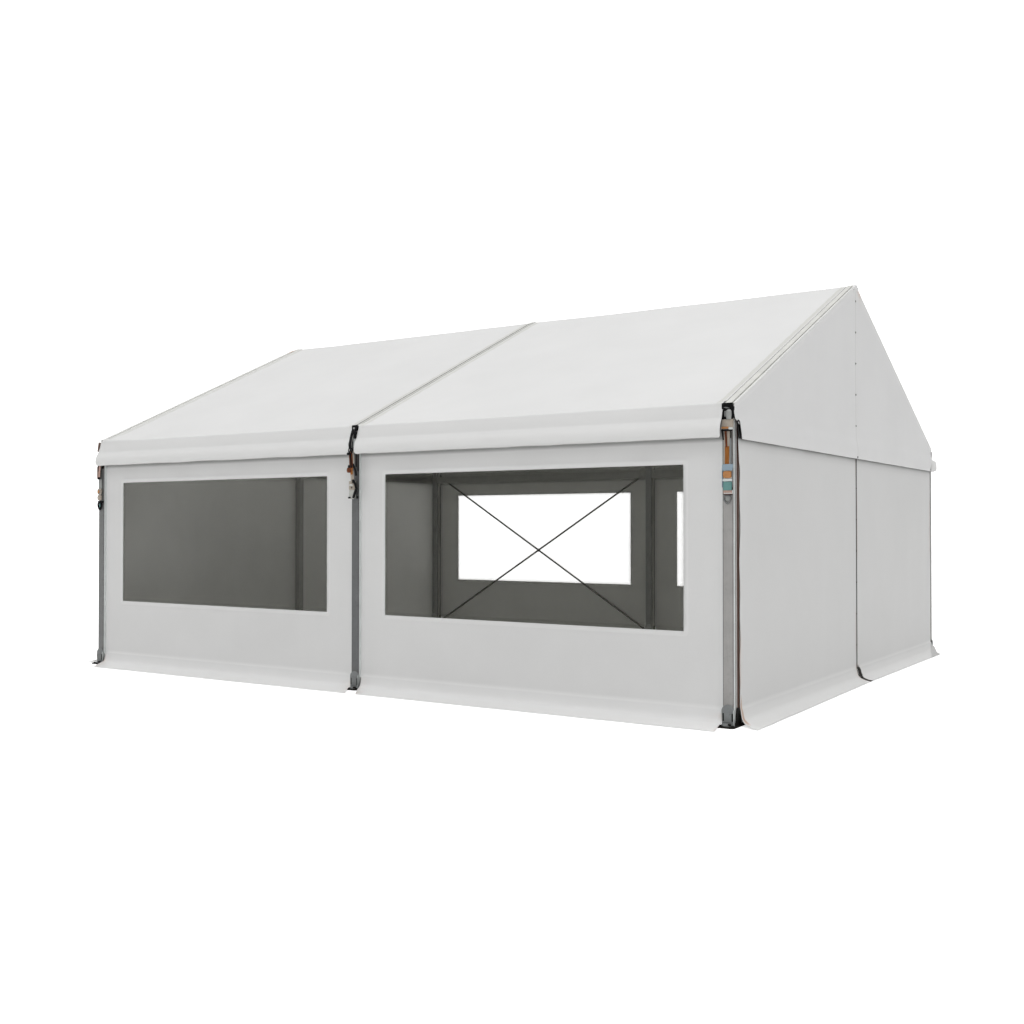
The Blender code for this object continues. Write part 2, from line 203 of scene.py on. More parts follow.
def makeFloor():
    # a wide pale square, lifted to white where the camera sees it
    half = ground["size"] / 2
    mesh = bpy.data.meshes.new("floor")
    mesh.from_pydata(
        [(-half, -half, 0), (half, -half, 0), (half, half, 0), (-half, half, 0)], [], [(0, 1, 2, 3)]
    )
    floor = bpy.data.objects.new("floor", mesh)
    bpy.context.scene.collection.objects.link(floor)
    pale, tree, shader = newMaterial("paleFloor", Roughness=0.9, Specular_IOR_Level=0.0)
    shader["Base Color"].default_value = (*ground["colour"], 1.0)
    shader["Emission Color"].default_value = (1.0, 1.0, 1.0, 1.0)
    seen = tree.nodes.new("ShaderNodeLightPath").outputs["Is Camera Ray"]
    tree.links.new(mathNode(tree, "MULTIPLY", seen, ground["lift"]), shader["Emission Strength"])
    mesh.materials.append(pale)


makeCamera()
makeSky()
makeFloor()
bpy.context.scene.view_settings.view_transform = "Standard"
print("camera, sky and floor made")

# Effects

def makeClothGrain():
    # fine crossed threads under a coating, broad mottling, and long faint rubs
    tree, given, out = newGroup(
        "clothGrain",
        [("Colour", "Color", (0.8, 0.8, 0.8, 1)), ("Mottle", "Float", 0.05), ("Rough", "Float", 0.5)],
        [("Colour", "Color"), ("Roughness", "Float"), ("Height", "Float")],
    )
    spot = tree.nodes.new("ShaderNodeTexCoord").outputs["Object"]
    split = tree.nodes.new("ShaderNodeSeparateXYZ")
    tree.links.new(spot, split.inputs[0])
    threads = [
        mathNode(tree, "SINE", mathNode(tree, "MULTIPLY", split.outputs[axis], 900.0)) for axis in (0, 1, 2)
    ]
    weave = mathNode(tree, "MULTIPLY", mathNode(tree, "MULTIPLY", threads[0], threads[1]), threads[2])
    broad = noiseNode(tree, spot, 1.4, 4.0, 0.55)
    rubs = noiseNode(tree, spot, 2.2, 5.0, 0.6, (1.0, 1.0, 0.35))
    fine = noiseNode(tree, spot, 55.0, 4.0, 0.6)
    tone = mathNode(
        tree, "ADD", mathNode(tree, "MULTIPLY", broad, 0.55), mathNode(tree, "MULTIPLY", rubs, 0.30)
    )
    tone = mathNode(tree, "ADD", tone, mathNode(tree, "MULTIPLY", fine, 0.15))
    depth = mathNode(tree, "MULTIPLY", given["Mottle"], 4.0)
    swing = mathNode(tree, "MULTIPLY", mathNode(tree, "SUBTRACT", tone, 0.5), depth)
    tree.links.new(scaleNode(tree, given["Colour"], mathNode(tree, "ADD", swing, 1.0)), out["Colour"])
    tree.links.new(mathNode(tree, "MULTIPLY_ADD", swing, 0.6, given["Rough"]), out["Roughness"])
    height = mathNode(tree, "MULTIPLY_ADD", weave, 0.12, mathNode(tree, "MULTIPLY", rubs, 0.8))
    tree.links.new(height, out["Height"])
    return tree


def makeGroundDust():
    # splash dirt that fades with the height above the ground, broken up by noise
    tree, given, out = newGroup(
        "groundDust",
        [
            ("Colour", "Color", (0.8, 0.8, 0.8, 1)),
            ("Dirt", "Color", (0.4, 0.36, 0.3, 1)),
            ("Reach", "Float", 0.2),
            ("Amount", "Float", 0.3),
        ],
        [("Colour", "Color"), ("Mask", "Float")],
    )
    spot = tree.nodes.new("ShaderNodeTexCoord").outputs["Object"]
    split = tree.nodes.new("ShaderNodeSeparateXYZ")
    tree.links.new(spot, split.inputs[0])
    fade = rampNode(tree, split.outputs["Z"], 0.0, given["Reach"], 1.0, 0.0)
    patch = rampNode(tree, noiseNode(tree, spot, 7.0, 6.0, 0.65), 0.36, 0.72)
    grain = rampNode(tree, noiseNode(tree, spot, 60.0, 4.0, 0.6), 0.35, 0.75)
    broken = mathNode(tree, "MULTIPLY_ADD", grain, 0.5, patch)
    mask = mathNode(tree, "MULTIPLY", mathNode(tree, "MULTIPLY", fade, broken), given["Amount"])
    tree.links.new(mixNode(tree, mask, given["Colour"], given["Dirt"]), out["Colour"])
    tree.links.new(mask, out["Mask"])
    return tree


def makeDrawnMetal():
    # faint lines along the length of a profile, with dull patches and scuffs
    tree, given, out = newGroup(
        "drawnMetal",
        [
            ("Colour", "Color", (0.5, 0.5, 0.5, 1)),
            ("Along", "Vector", (1.0, 1.0, 0.02)),
            ("Rough", "Float", 0.4),
            ("Scuffs", "Float", 0.3),
        ],
        [("Colour", "Color"), ("Roughness", "Float"), ("Height", "Float")],
    )
    spot = tree.nodes.new("ShaderNodeTexCoord").outputs["Object"]
    turn = tree.nodes.new("ShaderNodeVectorMath")
    turn.operation = "MULTIPLY"
    tree.links.new(spot, turn.inputs[0])
    tree.links.new(given["Along"], turn.inputs[1])
    lines = noiseNode(tree, turn.outputs[0], 420.0, 3.0, 0.7)
    patch = noiseNode(tree, spot, 9.0, 5.0, 0.6)
    scuff = rampNode(tree, noiseNode(tree, spot, 34.0, 6.0, 0.7), 0.56, 0.70)
    dull = mathNode(tree, "MULTIPLY", scuff, given["Scuffs"])
    tone = mathNode(tree, "MULTIPLY_ADD", mathNode(tree, "SUBTRACT", lines, 0.5), 0.35, 1.0)
    tone = mathNode(tree, "MULTIPLY_ADD", mathNode(tree, "SUBTRACT", patch, 0.5), 0.45, tone)
    tone = mathNode(tree, "MULTIPLY_ADD", dull, -0.35, tone)
    tree.links.new(scaleNode(tree, given["Colour"], tone), out["Colour"])
    rough = mathNode(tree, "MULTIPLY_ADD", patch, 0.15, given["Rough"])
    tree.links.new(mathNode(tree, "MULTIPLY_ADD", dull, 0.3, rough), out["Roughness"])
    tree.links.new(lines, out["Height"])
    return tree


def useGroup(tree, group, **values):
    # an effect placed in a material, with its own values or links
    node = tree.nodes.new("ShaderNodeGroup")
    node.node_tree = group
    for key, value in values.items():
        if hasattr(value, "is_output"):
            tree.links.new(value, node.inputs[key])
        elif isinstance(value, tuple) and len(value) == 3 and node.inputs[key].type == "RGBA":
            node.inputs[key].default_value = (*value, 1.0)
        else:
            node.inputs[key].default_value = value
    return node.outputs


def bumpInto(tree, sockets, height, distance):
    bump = tree.nodes.new("ShaderNodeBump")
    bump.inputs["Strength"].default_value = 1.0
    bump.inputs["Distance"].default_value = distance
    tree.links.new(height, bump.inputs["Height"])
    tree.links.new(bump.outputs[0], sockets["Normal"])


def markOf(tree, name):
    node = tree.nodes.new("ShaderNodeAttribute")
    node.attribute_name = name
    return node.outputs["Fac"]


def makeCoatedCloth():
    # grain, the piece's own marks (welded bands, on the side walls also painted light; painted light on hems;
    # rust stains; painted shade under hems, along seams and in gaps), then splash dirt
    tree, given, out = newGroup(
        "coatedCloth",
        [
            ("Colour", "Color", (0.8, 0.8, 0.8, 1)),
            ("Band", "Color", (0.7, 0.7, 0.7, 1)),
            ("Mottle", "Float", 0.03),
            ("Rough", "Float", 0.5),
            ("Dirt", "Float", 0.0),
        ],
        [("Colour", "Color"), ("Roughness", "Float"), ("Height", "Float")],
    )
    grain = useGroup(tree, clothGrain, Colour=given["Colour"], Mottle=given["Mottle"], Rough=given["Rough"])
    band = markOf(tree, "band")
    tinted = mixNode(tree, band, grain["Colour"], given["Band"])
    # painted light: lighter on hems and at an edge beside a leg
    tinted = mixNode(tree, markOf(tree, "fresh"), tinted, (0.93, 0.93, 0.92))
    tinted = mixNode(tree, markOf(tree, "stain"), tinted, (0.46, 0.21, 0.09))
    # painted shade: near black under hems, along seams, beside the legs and in the skirt's split
    tinted = mixNode(tree, markOf(tree, "grime"), tinted, (0.014, 0.013, 0.012))
    dust = useGroup(
        tree, groundDust, Colour=tinted, Dirt=(0.42, 0.38, 0.31), Reach=0.30, Amount=given["Dirt"]
    )
    tree.links.new(dust["Colour"], out["Colour"])
    tree.links.new(mathNode(tree, "MULTIPLY_ADD", band, -0.10, grain["Roughness"]), out["Roughness"])
    tree.links.new(grain["Height"], out["Height"])
    return tree


clothGrain = makeClothGrain()
groundDust = makeGroundDust()
coatedCloth = makeCoatedCloth()
drawnMetal = makeDrawnMetal()


def clothMaterial(name, colour, band, mottle, rough, dirt=0.0):
    material, tree, shader = newMaterial(name, Specular_IOR_Level=0.35, Sheen_Weight=0.05)
    cloth = useGroup(tree, coatedCloth, Colour=colour, Band=band, Mottle=mottle, Rough=rough, Dirt=dirt)
    tree.links.new(cloth["Colour"], shader["Base Color"])
    tree.links.new(cloth["Roughness"], shader["Roughness"])
    bumpInto(tree, shader, cloth["Height"], 0.0006)
    return material


def metalMaterial(name, colour, rough, metallic, along, scuffs, dirt=0.0, shine=0.5, bump=0.0003):
    material, tree, shader = newMaterial(name, Metallic=metallic, Specular_IOR_Level=shine)
    drawn = useGroup(tree, drawnMetal, Colour=colour, Along=along, Rough=rough, Scuffs=scuffs)
    tinted = drawn["Colour"]
    if dirt:
        dust = useGroup(tree, groundDust, Colour=tinted, Dirt=(0.20, 0.16, 0.12), Reach=0.22, Amount=dirt)
        tinted = dust["Colour"]
    tree.links.new(tinted, shader["Base Color"])
    tree.links.new(drawn["Roughness"], shader["Roughness"])
    bumpInto(tree, shader, drawn["Height"], bump)
    return material


def webbingMaterial(name, colour, streak, streakShare):
    # ribs across the strap from its own UV map (u across, v along, metres), dark streaks along it
    ribRate = 2 * math.pi / webbing["pitch"]
    material, tree, shader = newMaterial(name, Sheen_Weight=0.04, Roughness=0.8, Specular_IOR_Level=0.25)
    uv = tree.nodes.new("ShaderNodeUVMap").outputs[0]
    split = tree.nodes.new("ShaderNodeSeparateXYZ")
    tree.links.new(uv, split.inputs[0])
    ribs = mathNode(tree, "SINE", mathNode(tree, "MULTIPLY", split.outputs[1], ribRate))
    cords = mathNode(tree, "SINE", mathNode(tree, "MULTIPLY", split.outputs[0], ribRate / 0.8))
    worn = noiseNode(tree, uv, 60.0, 5.0, 0.65, (4.0, 0.35, 1.0))
    streaks = mathNode(tree, "MULTIPLY", rampNode(tree, worn, 0.44, 0.62), streakShare)
    lit = mathNode(tree, "MULTIPLY_ADD", ribs, 0.08, 1.0)
    tree.links.new(mixNode(tree, streaks, scaleNode(tree, colour, lit), streak), shader["Base Color"])
    bumpInto(tree, shader, mathNode(tree, "ADD", ribs, mathNode(tree, "MULTIPLY", cords, 0.5)), 0.0004)
    return material


def paintMaterial(name, colour, rough, wear):
    # paint or plastic: an even grain with scuffs
    material, tree, shader = newMaterial(name, Specular_IOR_Level=0.45)
    grain = useGroup(tree, drawnMetal, Colour=colour, Along=(0.6, 0.6, 0.6), Rough=rough, Scuffs=wear)
    tree.links.new(grain["Colour"], shader["Base Color"])
    tree.links.new(grain["Roughness"], shader["Roughness"])
    bumpInto(tree, shader, grain["Height"], 0.0002)
    return material


def filmMaterial():
    # smoky clear film: faint waves, hazier where the "band" mark says it is near its weld
    plain = dict(Specular_IOR_Level=0.5, Metallic=0.0, Transmission_Weight=0.0)
    material, tree, shader = newMaterial("windowFilm", **plain)
    spot = tree.nodes.new("ShaderNodeTexCoord").outputs["Object"]
    haze = noiseNode(tree, spot, 2.6, 4.0, 0.6, (1.0, 1.0, 0.5))
    scratch = rampNode(tree, noiseNode(tree, spot, 40.0, 5.0, 0.7, (1.0, 1.0, 0.3)), 0.60, 0.75)
    tree.links.new(mixNode(tree, haze, (0.16, 0.16, 0.13), (0.24, 0.24, 0.205)), shader["Base Color"])
    tree.links.new(rampNode(tree, haze, 0.3, 0.7, 0.10, 0.22), shader["Roughness"])
    clear = mathNode(tree, "MULTIPLY_ADD", haze, 0.06, film["alpha"])
    clear = mathNode(tree, "MULTIPLY_ADD", scratch, 0.03, clear)
    clear = mathNode(tree, "MULTIPLY_ADD", markOf(tree, "band"), 0.15, clear)
    tree.links.new(clear, shader["Alpha"])
    bumpInto(tree, shader, noiseNode(tree, spot, 5.0, 2.0, 0.5), 0.004)
    return material


film = dict(alpha=0.07, wave=0.0015)
webbing = dict(pitch=0.0035)
# how fine a metal's drawn lines are along X, Y and Z
upright, inward, crossways, even = (1.0, 1.0, 0.012), (1.0, 0.012, 1.0), (0.012, 1.0, 1.0), (0.5, 0.5, 0.5)
# colour, colour of its welded bands (on the side walls also painted light), mottle, roughness and splash dirt
cloths = dict(
    roofCloth=((0.775, 0.775, 0.77), (0.665, 0.665, 0.63), 0.040, 0.46),
    wallCloth=((0.81, 0.81, 0.805), (0.91, 0.91, 0.905), 0.045, 0.48, 0.015),
    gableWallCloth=((0.750, 0.750, 0.745), (0.88, 0.88, 0.87), 0.035, 0.48, 0.015),
    gableTopCloth=((0.835, 0.835, 0.835), (0.92, 0.92, 0.905), 0.035, 0.48),
    # the lining of the left gable, painted lighter than the rest: painted light
    endLining=((0.895, 0.895, 0.865), (0.75, 0.75, 0.725), 0.090, 0.60),
    lining=((0.785, 0.785, 0.755), (0.65, 0.65, 0.625), 0.090, 0.60),
)
# colour, roughness, how metallic, the way its lines run, scuffs, dirt, shine and depth of its bumps
metals = dict(
    # the same aluminium in three tones, lit for the near leg and shaded for the others: painted light and
    # shade
    nearLeg=((0.46, 0.45, 0.44), 0.42, 0.70, upright, 0.30, 0.3),
    midLeg=((0.200, 0.205, 0.210), 0.42, 0.70, upright, 0.30, 0.3),
    farLeg=((0.265, 0.27, 0.27), 0.42, 0.70, upright, 0.30, 0.3),
    # next two: painted shade, browned in the channel beside a gable wall, near black in gaps and under hems
    channelMetal=((0.215, 0.140, 0.115), 0.60, 0.2, upright, 0.4, 0.3, 0.3),
    gapMetal=((0.026, 0.019, 0.015), 0.70, 0.2, upright, 0.2, 0.0, 0.1),
    railMetal=((0.40, 0.40, 0.38), 0.45, 0.6, inward, 0.25),
    purlinMetal=((0.30, 0.30, 0.29), 0.50, 0.6, crossways, 0.30),
    postMetal=((0.33, 0.33, 0.32), 0.50, 0.6, upright, 0.30, 0.3),
    shoeSteel=((0.275, 0.29, 0.295), 0.50, 0.35, (1.0, 1.0, 0.3), 0.6, 0.2, 0.5, 0.0006),
    # black steel, also used as painted shade at the feet
    plateSteel=((0.010, 0.010, 0.010), 0.60, 0.1, even, 0.5, 0.1, 0.12),
    capSteel=((0.008, 0.008, 0.009), 0.45, 0.1, even, 0.5, 0.0, 0.12),
    pinSteel=((0.42, 0.43, 0.42), 0.40, 0.6, (1.0, 1.0, 0.2), 0.3),
    # bright steel, also used for painted highlights on the legs, feet and tensioners
    brightSteel=((0.78, 0.82, 0.81), 0.32, 0.5, (0.2, 1.0, 1.0), 0.2),
    cableSteel=((0.055, 0.052, 0.045), 0.55, 0.5, (1.0, 1.0, 1.0), 0.4),
)
# colour, roughness and scuffs
paints = dict(
    ribPaint=((0.70, 0.70, 0.665), 0.50, 0.2),
    # the rib paint darker: painted shade
    ribShade=((0.54, 0.54, 0.51), 0.50, 0.2),
    ratchetPaint=((0.33, 0.43, 0.51), 0.45, 0.35),
    tealPlastic=((0.145, 0.315, 0.30), 0.45, 0.35),
)
# colour, colour of its streaks and how strong they are
webs = dict(
    strapWeb=((0.42, 0.155, 0.032), (0.20, 0.06, 0.015), 0.5),
    brownWeb=((0.22, 0.060, 0.018), (0.05, 0.010, 0.004), 0.8),
    padWeb=((0.64, 0.30, 0.12), (0.48, 0.20, 0.07), 0.4),
    loopWeb=((0.56, 0.50, 0.43), (0.42, 0.34, 0.27), 0.5),
    paleWeb=((0.68, 0.47, 0.40), (0.50, 0.32, 0.26), 0.5),
    # painted shade: near black for the split in the gable skirts
    skirtEdge=((0.010, 0.007, 0.005), (0.035, 0.018, 0.010), 0.3),
    blackWeb=((0.012, 0.012, 0.012), (0.03, 0.03, 0.03), 0.4),
)
finish = dict(windowFilm=filmMaterial())
kinds = ((clothMaterial, cloths), (metalMaterial, metals), (paintMaterial, paints), (webbingMaterial, webs))
for make, table in kinds:
    for name, values in table.items():
        finish[name] = make(name, *values)
print("finishes made:", len(finish))

# Shape helpers

def waves(u, v, seed, size):
    # smooth random field near -1 to 1: sixteen cosines added up, with seeded directions, phases and
    # lengths near size
    rng = np.random.default_rng(seed)
    turn, shift = rng.uniform(0, math.pi, 16), rng.uniform(0, 2 * math.pi, 16)
    rate = 2 * math.pi / (size * rng.uniform(0.6, 1.7, 16))
    u, v = np.broadcast_arrays(u, v)
    angle = u[..., None] * (rate * np.cos(turn)) + v[..., None] * (rate * np.sin(turn)) + shift
    return np.cos(angle).sum(-1) / 5.6


def ease(x, low, high):
    # 0 below low, 1 above high, with a smooth S between
    t = np.clip((x - low) / (high - low), 0.0, 1.0)
    return t * t * (3 - 2 * t)


def spread(stops, step):
    # ascending values through every stop, with even gaps of about step between them
    parts = [
        np.linspace(a, b, max(1, round((b - a) / step)), endpoint=False) for a, b in zip(stops, stops[1:])
    ]
    return np.concatenate(parts + [[stops[-1]]])


def rounded(points, times=2):
    # corner cutting: each corner is replaced by points a quarter of the way along its two sides, ends kept
    points = np.asarray(points, float)
    for _ in range(times):
        a, b = points[:-1], points[1:]
        cut = np.stack([0.75 * a + 0.25 * b, 0.25 * a + 0.75 * b], 1).reshape(-1, points.shape[1])
        points = np.concatenate([points[:1], cut[1:-1], points[-1:]])
    return points


def distance(points):
    # running length along a line of points
    return np.concatenate([[0.0], np.cumsum(np.linalg.norm(np.diff(points, axis=0), axis=1))])


def evenly(points, step):
    # the same line with points a step apart
    run = distance(points)
    at = np.linspace(0, run[-1], max(2, round(run[-1] / step) + 1))
    return np.stack([np.interp(at, run, points[:, k]) for k in range(points.shape[1])], 1)


def gridFaces(rows, columns, wrapRows=False, wrapColumns=False):
    # the four corners of every cell of a grid of points
    r = np.arange(rows if wrapRows else rows - 1)
    c = np.arange(columns if wrapColumns else columns - 1)
    r, c = np.meshgrid(r, c, indexing="ij")
    r2, c2 = (r + 1) % rows, (c + 1) % columns
    return np.stack(
        [r * columns + c, r * columns + c2, r2 * columns + c2, r2 * columns + c], -1
    ).reshape(-1, 4)


def faceOut(mesh):
    # every shell's faces turned outwards
    bm = bmesh.new()
    bm.from_mesh(mesh)
    bmesh.ops.recalc_face_normals(bm, faces=bm.faces)
    bm.to_mesh(mesh)
    bm.free()


def putPiece(
    name, points, faces, materials, replaced=(), uv=None, marks=None, numbers=None, sharp=None
):
    # a mesh object at the origin from arrays, riding on the frame. numbers gives each face its material, and
    # sharp, given for closed shells, is the angle in degrees over which an edge isn't smoothed
    mesh = bpy.data.meshes.new(name)
    mesh.from_pydata(points.reshape(-1, 3).tolist(), [], [list(f) for f in faces])
    for key in materials:
        mesh.materials.append(finish[key])
    if numbers is not None:
        mesh.polygons.foreach_set("material_index", np.asarray(numbers, np.int32))
    if uv is not None:
        corners = np.zeros(len(mesh.loops), np.int32)
        mesh.loops.foreach_get("vertex_index", corners)
        layer = mesh.uv_layers.new(name="cloth")
        layer.data.foreach_set("uv", uv.reshape(-1, 2)[corners].astype(np.float32).ravel())
    for key, values in (marks or {}).items():
        layer = mesh.attributes.new(key, "FLOAT", "POINT")
        layer.data.foreach_set("value", np.asarray(values, np.float32).ravel())
    mesh.shade_smooth()
    if sharp is not None:
        mesh.set_sharp_from_angle(angle=math.radians(sharp))
    mesh.validate()
    piece = bpy.data.objects.new(name, mesh)
    bpy.context.scene.collection.objects.link(piece)
    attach(piece, "root")
    if replaced:
        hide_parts(*replaced)
    if sharp is not None:
        faceOut(mesh)
    return piece


def clothPiece(name, points, outward, materials, replaced, uv, marks, keep=None, numbers=None):
    # a sheet: the grid turned to face outward, cells outside keep left out, then given its thickness inwards
    rows, columns = points.shape[:2]
    faces = gridFaces(rows, columns)
    if keep is not None:
        faces = faces[keep.ravel()]
    flat = points.reshape(-1, 3)
    a, b, c, d = (flat[faces[:, k]] for k in range(4))
    if (np.cross(c - a, d - b).sum(0) @ np.asarray(outward, float)) < 0:
        faces = faces[:, ::-1]
    used, index = np.unique(faces, return_inverse=True)
    piece = putPiece(
        name,
        flat[used],
        index.reshape(faces.shape),
        materials,
        replaced,
        uv.reshape(-1, 2)[used],
        {
            key: np.broadcast_to(np.clip(value, 0, 1), (rows, columns)).ravel()[used]
            for key, value in marks.items()
        },
        numbers,
    )
    thick = piece.modifiers.new("thickness", "SOLIDIFY")
    thick.thickness = tent["clothThick"]
    thick.offset = -1.0
    thick.material_offset = 1
    return piece


def turned(points, way):
    # the back and the left are the front and the right turned half way round about Z
    return points if way in ("front", "right") else points * np.array([-1.0, -1.0, 1.0])


def tubeFaces(rings, count):
    # the faces of rings of count points joined one after the other, with a lid at each end
    last = (rings - 1) * count
    lids = [list(range(count))[::-1], [last + k for k in range(count)]]
    return gridFaces(rings, count, wrapColumns=True).tolist() + lids


def sweep(path, profile, up, closed=False, twist=0.0):
    # a closed profile carried along a path: centre + across * u + upward * v, with across = up x direction
    path, profile = np.asarray(path, float), np.asarray(profile, float)
    if closed:
        along = np.roll(path, -1, 0) - np.roll(path, 1, 0)
    else:
        along = np.gradient(path, axis=0)
    along /= np.linalg.norm(along, axis=1)[:, None]
    across = np.cross(np.asarray(up, float), along)
    across /= np.linalg.norm(across, axis=1)[:, None]
    upward = np.cross(along, across)
    angle = np.linspace(0, twist, len(path))[:, None]
    u = profile[None, :, 0] * np.cos(angle) - profile[None, :, 1] * np.sin(angle)
    v = profile[None, :, 0] * np.sin(angle) + profile[None, :, 1] * np.cos(angle)
    points = path[:, None] + across[:, None] * u[..., None] + upward[:, None] * v[..., None]
    if closed:
        return points.reshape(-1, 3), gridFaces(len(path), len(profile), True, True).tolist()
    return points.reshape(-1, 3), tubeFaces(len(path), len(profile))


def fullTurn(count):
    # even angles once round
    return np.arange(count) * 2 * math.pi / count


def circle(radius, count):
    angle = fullTurn(count)
    return np.stack([radius * np.cos(angle), radius * np.sin(angle)], 1)


def roundRect(width, height, radius, steps=4):
    # a rectangle round the origin with quarter circles at its corners, anticlockwise
    angle = np.linspace(0, math.pi / 2, steps + 1)
    quarter = np.stack([np.cos(angle), np.sin(angle)], 1) * radius
    centre = (width / 2 - radius, height / 2 - radius)
    out = []
    for k, (sx, sy) in enumerate(((1, 1), (-1, 1), (-1, -1), (1, -1))):
        arc = quarter * (sx, sy)
        if k % 2:
            arc = arc[::-1]
        out.append(arc + (centre[0] * sx, centre[1] * sy))
    return np.concatenate(out)


def slab(outline, depth, bevel, place):
    # a flat piece with bevelled rims: the outline, drawn in by the bevel at both faces.
    # place(u, v, w) puts it in the tent
    outline = np.asarray(outline, float)
    edge = np.roll(outline, -1, 0) - np.roll(outline, 1, 0)
    normal = np.stack([edge[:, 1], -edge[:, 0]], 1)
    normal /= np.maximum(np.linalg.norm(normal, axis=1), 1e-9)[:, None]
    inner = outline - normal * bevel
    rings = [(inner, 0.0), (outline, bevel), (outline, depth - bevel), (inner, depth)]
    u = np.stack([ring[:, 0] for ring, _ in rings])
    v = np.stack([ring[:, 1] for ring, _ in rings])
    w = np.array([level for _, level in rings])[:, None] + 0 * u
    points = np.stack(place(u, v, w), -1)
    return points.reshape(-1, 3), tubeFaces(4, len(outline))


def gather(parts):
    # several closed shells as one mesh: each part is (points, faces) and its material's number
    points, faces, numbers, start = [], [], [], 0
    for (verts, corners), number in parts:
        points.append(verts)
        faces += [[k + start for k in corner] for corner in corners]
        numbers += [number] * len(corners)
        start += len(verts)
    return np.concatenate(points), faces, numbers


# Roof covers
roof = dict(
    edge=0.0262,  # from a frame's middle to the cover's edge, on the slope
    # and to each cover's front hem ends, left and right
    hemEnds=dict(left=(0.003, 0.000), right=(0.038, 0.026)),
    corner=dict(reach=0.006, high=0.013),  # the left front corner wraps past the leg and stands higher
    # the back hem's end at the right turns round the leg: out past it, back in, and forward
    wrap=(0.156, 0.071, 0.120),
    rounding=0.018,  # of the hem's lower corners
    bead=0.0022,  # the roped edge stands this proud
    band=0.046,  # width of the welded band along each rafter
    sag=0.011,
    pucker=0.0016,
    wave=0.0020,
    step=0.030,
    hem=(
        (-0.034, 2.0045), (-0.012, 2.0015), (0.001, 1.992), (0.007, 1.972), (0.019, 1.942), (0.031, 1.903),
        (0.0318, 1.898), (0.0345, 1.893), (0.048, 1.872), (0.058, 1.850), (0.064, 1.826), (0.065, 1.802),
        (0.058, 1.785), (0.050, 1.776), (0.040, 1.7745),
    ),
)


